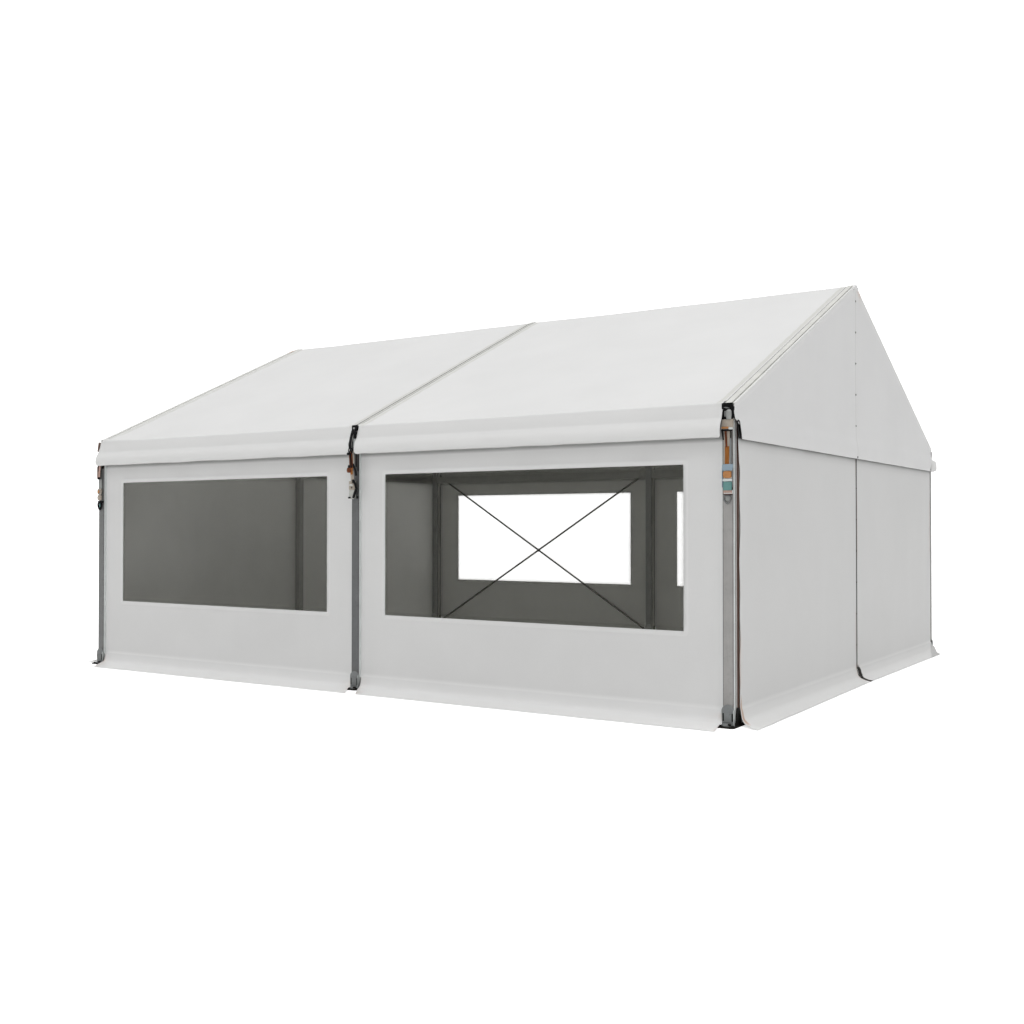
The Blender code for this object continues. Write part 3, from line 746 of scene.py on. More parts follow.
def makeRoofCover(place, x0, seed):
    # rows follow the profile from the front hem over the ridge to the back hem, columns cross the bay.
    # point = profile + outward normal * (bead - sag * sin(pi s) + puckers at the rafters + waves)
    hem = np.array([(tent["half"] + out, z) for out, z in roof["hem"]])
    smoothHem = evenly(rounded(hem, 2), 0.008)
    slopeY = spread([0.0, 0.03, smoothHem[0, 0]], roof["step"])[:-1]
    slopeLine = np.stack([slopeY, roofZ(slopeY) - 0.004 * np.exp(-slopeY / 0.02)], 1)
    half = np.concatenate([slopeLine, smoothHem])
    profile = np.concatenate([half[::-1] * (-1, 1), half[1:]])
    run = distance(profile)
    tangent = np.gradient(profile, axis=0)
    tangent /= np.linalg.norm(tangent, axis=1)[:, None]
    normal = np.stack([-tangent[:, 1], tangent[:, 0]], 1)
    if normal[len(normal) // 2, 1] < 0:
        normal = -normal
    e = roof["edge"]
    rim = [e, e + 0.003, e + 0.006, e + 0.010, e + 0.014, e + roof["band"], e + roof["band"] + 0.004]
    near = spread(rim, 0.02)
    between = spread([rim[-1], tent["bay"] - rim[-1]], roof["step"])
    s = np.concatenate([near, between[1:], (tent["bay"] - near)[::-1][1:]])
    y, z = profile[:, :1], profile[:, 1:]
    onHem = ease(np.abs(y), tent["half"] - 0.015, tent["half"] + 0.012)
    # the hem's ends draw in from the rafters, and a little more at their rounded lower corners
    low = np.clip((1.775 + roof["rounding"] - z) / roof["rounding"], 0, 1)
    cut = roof["rounding"] * (1 - np.sqrt(1 - low**2))
    turnOver = y > 0
    ends = roof["hemEnds"][place]
    leftEnd, rightEnd = (np.where(turnOver, 0.040, end) for end in ends)
    if place == "left":
        leftEnd = leftEnd - roof["corner"]["reach"] * ease(-z, -1.940, -1.905) * ~turnOver
    past, back, forward = roof["wrap"]
    wraps = turnOver * ease(-z, -1.955, -1.860) * (place == "right")
    rightEnd = rightEnd - past * wraps
    atEnd = np.clip(1 - (tent["bay"] - e - s[None]) / roof["band"], 0, 1)
    share = (s[None] - e) / (tent["bay"] - 2 * e)
    leftShift = onHem * (leftEnd + cut - e) * (1 - ease(share, 0.0, 0.08))
    rightShift = onHem * (rightEnd + cut - e) * ease(share, 0.92, 1.0)
    across = s[None] + leftShift - rightShift - back * wraps * atEnd**3
    toEdge = np.minimum(s, tent["bay"] - s)[None] - e
    along = run[:, None] + 0 * s[None]
    bead = roof["bead"] * np.sqrt(np.clip(1 - ((toEdge - 0.005) / 0.005) ** 2, 0, 1)) * (1 - onHem)
    flat = ease(np.abs(y), 0.0, 0.5) * (1 - ease(np.abs(y), 2.0, 2.5))
    sag = (
        roof["sag"] * np.sin(math.pi * np.clip(toEdge / (tent["bay"] / 2 - e), 0, 1) / 2) * (0.3 + 0.7 * flat)
        * (1 - onHem)
    )
    pull = ease(toEdge, 0.01, 0.05)
    ripples = np.sin(2 * math.pi * along / 0.16 + 4 * waves(along, toEdge, seed + 1, 1.2))
    pucker = roof["pucker"] * np.exp(-np.clip(toEdge - 0.02, 0, 9) / 0.10) * pull * ripples
    broad = roof["wave"] * waves(across, along, seed, 0.9) * ease(toEdge, 0.0, 0.35) * (1 - onHem)
    hemWave = 0.0022 * waves(across, along * 0.3, seed + 2, 0.45) * onHem * ease(toEdge, 0.0, 0.05)
    lift = bead - sag + pucker * (1 - 0.5 * onHem) + broad + hemWave
    band = np.abs(toEdge - roof["band"] / 2) < roof["band"] / 2 + 0.002
    lift = lift + 0.0005 * band
    outY, outZ = normal[:, :1] * lift, normal[:, 1:] * lift
    points = np.stack([x0 + across, y + outY - forward * wraps * atEnd**2, z + outZ], -1)
    if place == "left":
        nearCorner = np.exp(-((s[None] / 0.30) ** 2))
        points[..., 2] += roof["corner"]["high"] * nearCorner * ease(-y, 2.30, 2.50) * ease(z, 1.95, 1.99)
    # painted shade on the hem's lower edge, and painted light on the hem, stronger over its lower roll
    under = ease(-z, -1.7765, -1.7750)
    marks = dict(
        band=band * (1 - onHem) * (toEdge > 0.011),
        fresh=onHem * (0.22 + 0.33 * ease(-z, -1.885, -1.850)) + 0 * across,
        grime=0.85 * under + 0 * across,
    )
    uv = np.stack([across, along], -1)
    node = f"roof_cover_{place}"
    materials = ("roofCloth", "lining")
    cover = clothPiece(f"{node}_cloth", points, (0, 0, 1), materials, [node], uv, marks)


for place, x0 in bays.items():
    makeRoofCover(place, x0, 11 if place == "left" else 23)
print("roof covers made")

# Side walls and windows
wall = dict(
    inset=0.025,  # from the legs' outer face to the cloth's
    edge=0.0296,
    footEdge=0.045,
    top=1.950,
    neck=(1.870, 1.885),  # over this the panel's edges draw in to clear the rafters
    neckEdge=0.0375,
    shade=(1.750, 1.772),  # the painted shade under the roof's hem
    window=(0.272, 2.692, 0.570, 1.620),  # left, right, low, high
    border=0.030,
    weld=0.105,
    reach=0.235,
    step=0.032,
    wave=0.0042,
    skirt=(
        (0.0, 0.105), (0.035, 0.092), (0.075, 0.066), (0.11, 0.040), (0.17, 0.026), (0.30, 0.0215),
        (0.45, 0.0165), (0.75, 0.0070), (1.00, 0.0045),
    ),
)


def skirtLine(profile, reach):
    # the skirt's outer surface as rounded, even points: (out from the wall, height)
    return evenly(rounded(np.array(profile) * (reach, 1.0), 2), 0.012)


def makeSideWall(side, place, x0, seed, ends):
    # rows run down the panel and then out along its skirt, columns cross the bay.
    # out = waves + puckers from the window's corners and from the legs + folds that grow towards the ground
    left, right, low, high = wall["window"]
    rim = wall["border"]
    skirt = skirtLine(wall["skirt"], wall["reach"])
    stops = [
        wall["weld"], wall["weld"] + 0.022, low - rim - 0.003, low - rim, low, high, high + rim,
        high + rim + 0.003
    ]
    panelZ = spread(stops + [*wall["shade"], *wall["neck"], wall["top"]], wall["step"])[::-1]
    out = np.concatenate([0 * panelZ, skirt[1:, 0]])[:, None]
    z = np.concatenate([panelZ, skirt[1:, 1]])[:, None]
    run = distance(np.concatenate([out, z], 1))[:, None]
    e = wall["edge"]
    nearLeft = [e, e + 0.004, e + 0.030, e + 0.034]
    nearRight = [tent["bay"] - e - 0.034, tent["bay"] - e - 0.030, tent["bay"] - e - 0.004, tent["bay"] - e]
    nearWindow = [left - rim - 0.003, left - rim, left, right, right + rim, right + rim + 0.003]
    s = spread(nearLeft + nearWindow + nearRight, wall["step"])[None]
    share = np.clip(out / wall["reach"], 0, 1)
    foot = 1 - ease(z, 0.085, 0.105)
    endLeft = e + (wall["footEdge"] - e) * foot + ends[0] * share**1.3
    endRight = tent["bay"] - e - (wall["footEdge"] - e) * foot - ends[1] * share**1.3
    mix = (s - e) / (tent["bay"] - 2 * e)
    plain = s + 0 * z
    bottom = endLeft + (endRight - endLeft) * mix
    across = plain + (bottom - plain) * foot
    neck = ease(z, *wall["neck"]) * (wall["neckEdge"] - e)
    across = across + neck * (1 - 2 * mix)
    toLeft, toRight = plain - e, tent["bay"] - e - plain
    toEdge = np.minimum(toLeft, toRight)
    held = ease(toEdge, 0.004, 0.10)
    hang = ease(-z, -1.87, -1.50)
    window = (plain > left - 1e-6) & (plain < right + 1e-6) & (z > low - 1e-6) & (z < high + 1e-6)
    beside, above = np.maximum(left - plain, plain - right), np.maximum(low - z, z - high)
    fromWindow = np.sqrt(np.maximum(beside, 0) ** 2 + np.maximum(above, 0) ** 2)
    calm = ease(fromWindow, 0.0, 0.10)
    lift = wall["wave"] * waves(plain, z + share * 0.2, seed, 0.55) * held * (0.25 + 0.75 * calm)
    # short puckers beside the legs
    lift += 0.0016 * waves(plain * 0.35, z, seed + 1, 0.11) * np.exp(-toEdge / 0.16) * held * hang
    corner = toEdge + 0.8 * np.abs(z - 0.30)
    slant = np.where(toLeft < toRight, plain + z, plain - z)
    creases = np.sin(2 * math.pi * slant / 0.085 + 2.5 * waves(plain, z, seed + 2, 0.5))
    lift += 0.0030 * creases * np.exp(-corner / 0.16) * held * (z > 0.0)
    border = (fromWindow <= rim + 1e-5) & ~window
    edgeBand = toEdge <= 0.030 + 1e-6
    lift += 0.0009 * (border | (fromWindow < 1e-9)) + 0.0006 * edgeBand
    ripple = waves(plain, 0 * z, seed + 3, 0.42)
    fine = waves(plain, 0 * z, seed + 4, 0.16)
    lift += 0.0045 * ripple * ease(share, 0.02, 0.4) + 0.0012 * fine * ease(share, 0.0, 0.2)
    up = np.clip(0.0035 * fine + 0.0030 * ripple, 0, 1) * ease(share, 0.15, 0.9)
    weldLine = np.abs(z - wall["weld"]) < 0.004
    atWeld = (z < wall["weld"] + 0.020) & (share < 0.02)
    lift += 0.0010 * atWeld
    y = -(tent["half"] - wall["inset"] + out + lift * (1 - 0.6 * share))
    points = np.stack([x0 + across, y, z + up + 0 * across], -1)
    points[..., 2] = np.maximum(points[..., 2], 0.0030)
    nearEnd = np.minimum(across - endLeft, endRight - across)
    patchy = np.clip(0.35 + 0.5 * waves(across, z, seed + 5, 0.10), 0, 1)
    stain = (
        np.exp(-np.clip(nearEnd, 0, 9) / 0.030) * (1 - ease(z, 0.08, 0.13)) * patchy * ease(share, 0.0, 0.1)
    )
    band = border * 0.45 + edgeBand * 0.30 + atWeld * 0.5 + weldLine * 0.3 + 0.75 * ease(share, 0.0, 0.12)
    # band: welded bands, plus painted light over the wall's upper part where the roof's hem shades it, and
    # lighter near the ground and on the skirt; painted shade under the roof's hem and along the edges beside
    # the legs
    marks = dict(
        band=band + 0.60 * ease(z, 1.45, 1.70) + 0.20 * (1 - ease(z, 0.12, 0.40)) + 0 * across,
        stain=0.5 * stain,
        grime=0.50 * ease(z, *wall["shade"]) + 0.12 * np.exp(-toEdge / 0.004) * (z > 0.12),
    )
    cells = ~(window[:-1, :-1] & window[1:, 1:] & window[:-1, 1:] & window[1:, :-1])
    points = turned(points, side)
    uv = np.stack([across, -run + 0 * across], -1)
    node = f"{side}_wall_{place}"
    outward, materials = (0, -1 if side == "front" else 1, 0), ("wallCloth", "lining")
    panel = clothPiece(f"{node}_cloth", points, outward, materials, [node], uv, marks, cells)


def makeWindow(side, place, x0, seed):
    # a flat pane with slow waves that die out at its welded rim
    left, right, low, high = wall["window"]
    s = spread([left - 0.004, left + 0.03, right - 0.03, right + 0.004], 0.05)[None]
    z = spread([low - 0.004, low + 0.03, high - 0.03, high + 0.004], 0.05)[:, None]
    toRim = np.minimum(np.minimum(s - left, right - s), np.minimum(z - low, high - z))
    lift = film["wave"] * waves(s, z, seed, 0.6) * ease(toRim, 0.0, 0.2)
    y = -(tent["half"] - wall["inset"] - 0.0018 + lift)
    points = turned(np.stack([x0 + s + 0 * z, y, z + 0 * s], -1), side)
    band = 1 - ease(toRim, 0.0, 0.02)
    node = f"{side}_window_{place}"
    uv = np.stack([s + 0 * z, z + 0 * s], -1)
    outward, marks = (0, -1 if side == "front" else 1, 0), dict(band=band)
    pane = clothPiece(f"{node}_film", points, outward, ("windowFilm",), [node], uv, marks)
    pane.modifiers["thickness"].thickness = 0.0008
    pane.modifiers["thickness"].material_offset = 0


# how far each skirt's ends draw back at the ground
skirtEnds = dict(left=(0.138, -0.130), right=(0.140, -0.043))
for side in ("front", "back"):
    for place, x0 in bays.items():
        start = x0 if side == "front" else -(x0 + tent["bay"])
        key = place if side == "front" else ("right" if place == "left" else "left")
        seed = dict(front=dict(left=31, right=47), back=dict(left=59, right=67))[side][place]
        makeSideWall(side, place, start, seed, skirtEnds[key])
        makeWindow(side, place, start, seed + 500)
print("side walls and windows made")

# Gables
gable = dict(
    face=3.0403,  # outer surface of the wall panels
    outer=2.4594,
    top=1.900,
    shade=(1.735, 1.750, 1.760, 1.768, 1.776),  # rows for the painted shade under the gable top's hem
    reach=(0.118, 0.160, 0.128),  # of the skirt: at the middle, at the front and at the back
    splay=(0.118, 0.045),  # the skirt's front end spreads, over what length
    draw=(0.130, 0.300),  # and its back end draws in
    step=0.034,
    wave=0.0030,
    seam=0.017,  # the edge of each panel at the middle, painted dark as shade
    split=0.066,  # the opening in the skirt at its widest, painted near black as shade
    fold=0.042,  # the skirt's back end stands up
    endReach=(0.034, 0.012),  # the top reaches out over the legs, at the front and the back
    # the rim over the rafters: out from the face, above the roof line
    turn=dict(
        left=(
            (0.0025, -0.007), (0.0030, 0.009), (0.0005, 0.0170), (-0.0060, 0.0190), (-0.0141, 0.0130),
            (-0.0188, 0.0042)
        ),
        right=((0.0025, -0.007), (0.0030, 0.000), (0.0022, 0.0045), (-0.0010, 0.0065), (-0.0055, 0.0045)),
    ),
    skirt=(
        (0.0, 0.105), (0.05, 0.094), (0.10, 0.068), (0.14, 0.046), (0.24, 0.032), (0.45, 0.0195),
        (0.75, 0.0085), (1.0, 0.0045)
    ),
    hem=(
        (0.0080, 1.772), (0.0125, 1.800), (0.0145, 1.840), (0.0125, 1.872), (0.0060, 1.905), (0.0012, 1.928),
        (0.0, 1.945)
    ),
    half=2.511,
    # half the hem's length at its lower edge, and the heights between which it widens
    hemHalf=(2.434, 1.772, 1.888),
    peak=(0.060, 0.022),  # half length and height of the cap on the ridge's end
    toggle=(0.0075, 0.25),  # radius and spacing of the toggles up the middle seam
    # top, bottom, half width and strap width of the corner loops
    hook=((-2.515, 1.880), (-2.480, 1.778), 0.020, 0.010),
)


def makeGableWall(end, half, seed):
    # rows run down the panel and out along its skirt, columns run from the seam at the middle to the leg.
    # by the front leg the skirt's end spreads, by the back leg it draws in, both with the share of its reach
    middleReach = gable["reach"][0]
    farReach = gable["reach"][1 if half == "front" else 2]
    skirt = skirtLine(gable["skirt"], middleReach)
    panelZ = spread([0.105, 0.127, 0.6, 1.3, *gable["shade"], gable["top"]], gable["step"])[::-1]
    out = np.concatenate([0 * panelZ, skirt[1:, 0]])[:, None]
    z = np.concatenate([panelZ, skirt[1:, 1]])[:, None]
    run = distance(np.concatenate([out, z], 1))[:, None]
    outer = gable["outer"]
    stops = [
        0.004, gable["seam"] - 0.001, gable["seam"] + 0.003, 0.027, 0.034, 0.042, 0.050, 0.059, 0.068, 0.078,
        0.088
    ]
    stops += [outer - 0.034, outer - 0.030, outer - 0.018, outer - 0.012, outer - 0.006, outer]
    t = spread(stops, gable["step"])[None]
    share = np.clip(out / middleReach, 0, 1)
    toLeg = outer - t
    if half == "front":
        wide, long = gable["splay"]
        across = t + wide * np.sin(0.5 * math.pi * share) * np.exp(-toLeg / long)
    else:
        wide, long = gable["draw"]
        across = t - wide * share**1.3 * np.exp(-toLeg / long)
    stretch = 1 + (farReach / middleReach - 1) * t / outer
    # the edge beside the front leg waves, and stands further out over its upper part
    edgeWave = 0.009 * waves(z, 0 * z, seed + 6, 0.30) * ease(z, 0.2, 0.5) - 0.019 * ease(z, 1.57, 1.63)
    across = across - edgeWave * np.exp(-toLeg / 0.02) * (half == "front")
    held = ease(np.minimum(toLeg, t), 0.004, 0.12)
    lift = gable["wave"] * waves(t * 1.6, z * 0.55, seed, 0.6) * held
    lift = lift + 0.0022 * waves(t * 0.4, z, seed + 1, 0.13) * np.exp(-np.minimum(toLeg, t) / 0.14) * held
    slant = 2 * math.pi * (t + z) / 0.10 + 2 * waves(t, z, seed + 2, 0.5)
    lift = lift + 0.0028 * np.sin(slant) * np.exp(-(toLeg + 0.8 * np.abs(z - 0.3)) / 0.2) * held
    ripple, fine = waves(t, 0 * z, seed + 3, 0.40), waves(t, 0 * z, seed + 4, 0.15)
    lift = lift + (0.005 * ripple + 0.0015 * fine) * ease(share, 0.02, 0.5)
    atWeld = (z < 0.126) & (share < 0.02)
    lift = lift + 0.0014 * atWeld + 0.0008 * (t < 0.030) + 0.0006 * (toLeg < 0.031)
    lift = np.maximum(lift, -0.002)
    up = np.clip(0.003 * fine + 0.003 * ripple, 0, 1) * ease(share, 0.2, 0.9)
    if half == "back":
        up = up + gable["fold"] * np.sin(math.pi * np.clip(share / 0.6, 0, 1)) * np.exp(-toLeg / 0.05)
    x = gable["face"] + out * stretch + lift * (1 - 0.5 * share)
    way = (-1 if half == "front" else 1) * (1 if end == "right" else -1)
    points = np.stack([x + 0 * t, way * across, np.maximum(z + up, 0.003)], -1)
    points = turned(points, end)
    worn = ease(waves(z, 0 * z, seed + 7, 0.5) + 0 * t, -0.3, 0.5)
    atFoot = ease(-z, -0.19, -0.13) * (1 - ease(share, 0.3, 0.6)) * (half == "front")
    rust = 2.0 * atFoot * np.exp(-(((toLeg - 0.015) / 0.009) ** 2))
    stainLeg = np.exp(-np.clip(toLeg, 0, 9) / 0.012) * worn * (z < 1.62) * (1 - atFoot) + rust
    seamWorn = np.clip(0.6 * worn + ease(-z, -0.16, -0.10), 0, 1)
    stainSeam = np.exp(-np.clip(t - gable["seam"], 0, 9) / 0.010) * seamWorn
    # the skirts part below the seam: a crescent, widest just under the weld, painted near black as shade
    crescent = (gable["split"] - gable["seam"]) * np.exp(-(((share - 0.11) / 0.15) ** 2))
    opening = gable["seam"] + (0.016 + crescent) * (half == "back")
    parted = (t < opening + 0.002) * ease(-z, -0.125, -0.100)
    cells = (parted[:-1, :-1] + parted[1:, 1:] > 0.9).ravel()
    # painted shade at the seam's edge, in the skirt's split, under the gable top's hem and where the back
    # skirt's end folds up; a painted highlight along the edge by the front leg's foot
    farFoldShade = 0.30 * ease(0.50 * share - toLeg, 0.0, 0.03) * (half == "back") * ease(share, 0.0, 0.1)
    dark = np.maximum(0.80 * (t < gable["seam"]) * (z > 0.10), 0.97 * parted)
    marks = dict(
        band=(t < 0.030) * 0.35 + (toLeg < 0.031) * 0.25 + atWeld * 0.6 + 0.70 * ease(share, 0.0, 0.12),
        fresh=0.9 * atFoot * (toLeg < 0.008),
        stain=0.42 * stainLeg + 0.55 * stainSeam,
        grime=dark + 0.88 * np.exp((z - 1.776) / 0.019) + farFoldShade,
    )
    node = f"gable_wall_{end}_{half}"
    uv = np.stack([across + 0 * z, -run + 0 * t], -1)
    outward = (1 if end == "right" else -1, 0, 0)
    inside = "endLining" if end == "left" else "lining"
    materials = ("gableWallCloth", inside, "skirtEdge", inside)
    numbers = 2 * cells
    panel = clothPiece(
        f"{node}_cloth", points, outward, materials, [node], uv, marks, None, numbers
    )


def makeGableTop(end, seed):
    # rows: the hem, the triangle with z = step + rise * (roof - step), and the rim over the rafter
    hem = evenly(rounded(np.array(gable["hem"]), 1), 0.011)
    hemOut, hemZ = hem[:, :1], hem[:, 1:]
    half = gable["half"]
    near = [-half, -half + 0.012, -0.032, -0.028, -0.006, 0.0]
    y = spread(near + [-v for v in near[-2::-1]], 0.040)[None]
    roofLine = roofZ(y)
    turn = np.array(gable["turn"][end])
    if end == "left":
        rim = turn[:, 1:] * (1 - 0.6 * np.exp(-((y / 0.08) ** 2)))
    else:
        rim = turn[:, 1:] - 0.0035 * ease(-y, 1.4, 2.2)
    stepZ = gable["hem"][-1][1]
    rise = np.linspace(0, 1, 38)[1:, None]
    triZ = stepZ + rise * (roofLine + rim[0] - 0.004 - stepZ)
    z = np.concatenate([hemZ + 0 * y, triZ, roofLine + rim])
    out = np.concatenate([hemOut + 0 * y, 0 * triZ, turn[:, :1] + 0 * y])
    onRim = np.repeat([0.0, 0.0, 1.0], [len(hemZ), len(triZ), len(turn)])[:, None]
    toTop = np.clip(roofLine - z, 0, 9)
    toEdge = np.minimum(half - np.abs(y) + 0 * z, toTop)
    flat = ease(toEdge, 0.0, 0.15)
    lift = 0.0035 * waves(y * 1.3, z * 0.8, seed, 0.6) * flat
    ripples = np.sin(2 * math.pi * y / 0.14 + 3 * waves(y, z, seed + 1, 0.6))
    lift += 0.0015 * ripples * np.exp(-toTop / 0.08) * ease(toTop, 0.0, 0.03)
    lift += (
        0.0012 * (np.abs(y) < 0.0295) * (toTop > 0.01) - 0.0022 * np.exp(-((y / 0.004) ** 2)) * (toTop > 0.01)
    )
    lift += 0.0008 * waves(y, 0 * z, seed + 2, 0.3) * (z < 1.9)
    lift = np.maximum(lift, -0.0030)
    short, low, high = gable["hemHalf"]
    width = 1 - (1 - short / half) * (1 - np.clip((z - low) / (high - low), 0, 1))
    # its ends reach out over the legs, and come down with the roof as they do
    reach = np.where(y < 0, *gable["endReach"]) * ease(np.abs(y), 2.30, half) * ease(z, 1.86, 1.89)
    z = z - tent["slope"] * reach * np.clip((z - stepZ) / (roofLine - stepZ), 0, 1)
    points = np.stack([gable["face"] + out + lift, y * width + np.sign(y) * reach, z], -1)
    points = turned(points, end)
    patch = (z > tent["ridge"] - 0.13) & (toTop > 0.004)
    # painted shade down the middle seam
    marks = dict(
        band=(np.abs(y) < 0.0295) * 0.25 + (toTop < 0.045) * 0.30 * (z > 1.95) + patch * 0.25 + 0.7 * onRim,
        stain=0.5 * np.exp(-(((y - 0.10) / 0.05) ** 2)) * np.exp(-toTop / 0.03),
        grime=0.18 * np.exp(-((y / 0.006) ** 2)) + 0 * z,
    )
    uv = np.stack([y + 0 * z, z], -1)
    node = f"gable_top_{end}"
    outward = (1 if end == "right" else -1, 0, 0)
    materials = ("gableTopCloth", "lining")
    top = clothPiece(f"{node}_cloth", points, outward, materials, [node], uv, marks)
    width, height = 2 * half, tent["ridge"] - hem[0, 1]
    low = 2.003 - hem[0, 1]


def gableTrim(end):
    # the cap on the ridge's end, the toggles up the seam, and the black loop at the hem's corner
    x = gable["face"]
    half, high = gable["peak"]
    outline = [(-half, -high), (half, -high), (half, 0.002), (0.012, 0.005), (-0.012, 0.005), (-half, 0.002)]
    outline = rounded(outline + outline[:1], 2)[:-1]
    parts = [(slab(outline, 0.024, 0.004, lambda u, v, w: (x - 0.014 + w, u, roofZ(u) + v)), 0)]
    radius, gap = gable["toggle"]
    for z in np.arange(tent["ridge"] - 0.13, 0.2, -gap):
        proud = 0.0135 * (1.775 < z < 1.93)
        parts.append((slab(circle(radius, 12), 0.0035, 0.0008, lambda u, v, w: (x + proud + w, u, v + z)), 1))
    top, bottom, wide, strap = gable["hook"]
    turn = fullTurn(32)
    long = np.array(top) - np.array(bottom)
    length = np.linalg.norm(long)
    down, side = long / length, np.array([long[1], -long[0]]) / length
    reach = length / 2 - wide
    oval = (
        np.cos(turn)[:, None] * wide * side
        + (np.sin(turn) * wide + reach * np.sign(np.sin(turn)))[:, None] * down
    )
    oval = oval + (np.array(top) + np.array(bottom)) / 2
    path = np.stack([0 * turn + x + 0.014, oval[:, 0], oval[:, 1]], 1)
    parts.append((sweep(path, roundRect(strap, 0.005, 0.002, 2), up=(1, 0, 0), closed=True), 2))
    points, faces, numbers = gather(parts)
    points = turned(points, end)
    finishes = ("gableTopCloth", "cableSteel", "capSteel")
    putPiece(f"gable_top_{end}_trim", points, faces, finishes, numbers=numbers, sharp=40)


for end in ("left", "right"):
    makeGableTop(end, 71 if end == "left" else 83)
    gableTrim(end)
    for half in ("front", "back"):
        makeGableWall(end, half, 91 + 7 * (end == "right") + 3 * (half == "back"))
print("gables made")

# Legs and rafters
leg = dict(
    width=0.072,
    depth=0.120,
    low=0.0083,
    corner=0.004,
    keder=(0.0247, 0.0293, 0.007),  # from, to, depth of the groove for a side wall
    channel=(0.054, 0.0895, 0.011),  # the recess beside a gable wall
    line=(0.0315, 0.0012, 0.0020),  # half spacing, half width and depth of the lines down the face
)
# which leg gets which painted light or shade of the aluminium
legFinish = dict(
    front=dict(left="farLeg", middle="midLeg", right="nearLeg"),
    back=dict(left="midLeg", middle="midLeg", right="nearLeg"),
)


def legProfile():
    # half the profile from the middle of the outer face, inward positive, then mirrored
    half, r = leg["width"] / 2, leg["corner"]
    at, wide, deep = leg["line"]
    bend = [(half - r + r * math.sin(a), r - r * math.cos(a)) for a in np.linspace(0, math.pi / 2, 5)]
    right = [(at - wide, 0.0), (at - wide * 0.6, deep), (at + wide * 0.6, deep), (at + wide, 0.0)] + bend
    for low, high, depth in (leg["keder"], leg["channel"]):
        right += [(half, low), (half - depth, low), (half - depth, high), (half, high)]
    right += [(half, leg["depth"] - r), (half - r, leg["depth"])]
    return np.array(right + [(-x, y) for x, y in reversed(right)])


def makeLeg(side, place, x):
    # the profile carried straight up, cut on the slope at its top
    outline = legProfile()
    y = outline[:, 1] - tent["half"]
    top = roofZ(y) - 0.100 / math.cos(math.atan(tent["slope"])) - 0.0003
    levels = np.linspace(0, 1, 9)[:, None]
    z = leg["low"] + levels * (top - leg["low"])[None]
    points = np.stack([outline[:, 0] + 0 * z, y + 0 * z, z], -1)
    points = turned(points, side) + (x, 0, 0)
    count = len(outline)
    faces = tubeFaces(9, count)
    # painted shade in the lines down the face and in the keder groove, a painted highlight on the flank
    # beside the face, and browned painted shade in the channel
    column = np.minimum(np.arange(count), count - 2 - np.arange(count))
    kind = np.zeros(count, int)
    kind[np.isin(column, (0, 1, 2, 9, 10, 11))] = 1
    kind[column == 8] = 2
    kind[np.isin(column, (13, 14, 15))] = 3
    numbers = np.concatenate([np.tile(kind, 8), [0, 0]])
    node = f"leg_{side}_{place}"
    finishes = (
        legFinish[side][place], "gapMetal", "brightSteel", "channelMetal" if side == "front" else "nearLeg"
    )
    putPiece(f"{node}_profile", points, faces, finishes, [node], numbers=numbers, sharp=25)


rafter = dict(rib=0.0215, proud=0.003, depth=0.100, shoulder=0.036)


def makeRafter(side, place, x):
    # the profile carried up the slope: a pale rib, with a gap between it and the covers painted dark as shade
    half, top = rafter["rib"], rafter["proud"]
    rib = [(0.0045, top - 0.0006), (0.012, top), (half - 0.002, top), (half, top - 0.002), (half, -0.0043)]
    wide, deep = rafter["shoulder"], rafter["depth"]
    right = rib + [(wide, -0.0043), (wide, 0.003 - deep), (wide - 0.003, -deep)]
    outline = np.array(right + [(-u, v) for u, v in reversed(right)])
    y = np.linspace(-tent["half"], -0.0003, 24)[:, None]
    z = roofZ(y) + outline[None, :, 1] / math.cos(math.atan(tent["slope"]))
    points = np.stack([outline[None, :, 0] + 0 * z, y + 0 * z, z], -1)
    points = turned(points, side) + (x, 0, 0)
    count = len(outline)
    faces = tubeFaces(24, count)
    column = np.minimum(np.arange(count), count - 2 - np.arange(count))
    kind = np.where(column < 3, 1, np.where(column < 5, 2, 0))
    # the gap on the cover's side is pale, and the middle one has its painted shade line on the left
    onRight = (np.arange(count) < count / 2) == (side == "front")
    inner = ~onRight if place == "right" else onRight
    kind = np.where((kind == 2) & inner, 1, kind)
    if place == "middle":
        kind = np.where(((column == 1) | (column == 2)) & ~inner, 2, kind)
    numbers = np.concatenate([np.tile(kind, 23), [1, 1]])
    node = f"rafter_{side}_{place}"
    finishes = (
        ("railMetal", "ribShade", "gapMetal") if place == "middle" else ("railMetal", "ribPaint", "ribShade")
    )
    putPiece(f"{node}_profile", points, faces, finishes, [node], numbers=numbers, sharp=25)


for side in ("front", "back"):
    for place, x in frames.items():
        makeLeg(side, place, x)
        makeRafter(side, place, x)
print("legs and rafters made")

# Feet
foot = dict(
    plate=(0.116, 0.225, 0.008, 0.022),  # width, depth, thickness, corner
    front=0.064,  # how far the plate reaches out from the leg's face
    shoe=(0.084, 0.137, 0.010),  # width, height and depth of the domed shoe
    panel=(0.048, 0.030, 0.087, 0.004),  # the raised panel in it: width, low, high, thickness
    slot=(0.008, 0.0295, 0.036, 0.086),  # the slots beside the panel, thin black plates as painted shade: width, off the middle, low, high
    toe=(0.066, 0.024, 0.014),  # the lip at the bottom: width, height, how far out
    tongue=(0.043, 0.009),  # the half-round tongue in front of it: radius, thickness
    bolt=(0.020, 0.012, 0.004),  # the bolt head beside the tongue: width, height, corner
    glint=(0.0035, 0.100, 0.003),  # a painted highlight down the shoe: width, height, thickness
    # a black plate on each flank as painted shade beside the foot: thickness, height, half length at its foot
    # and top
    wing=(0.006, 0.115, 0.046, 0.014),
    spike=(0.009, 0.040, 0.082, 0.012),  # stake head: radius, off the middle both ways, height
)


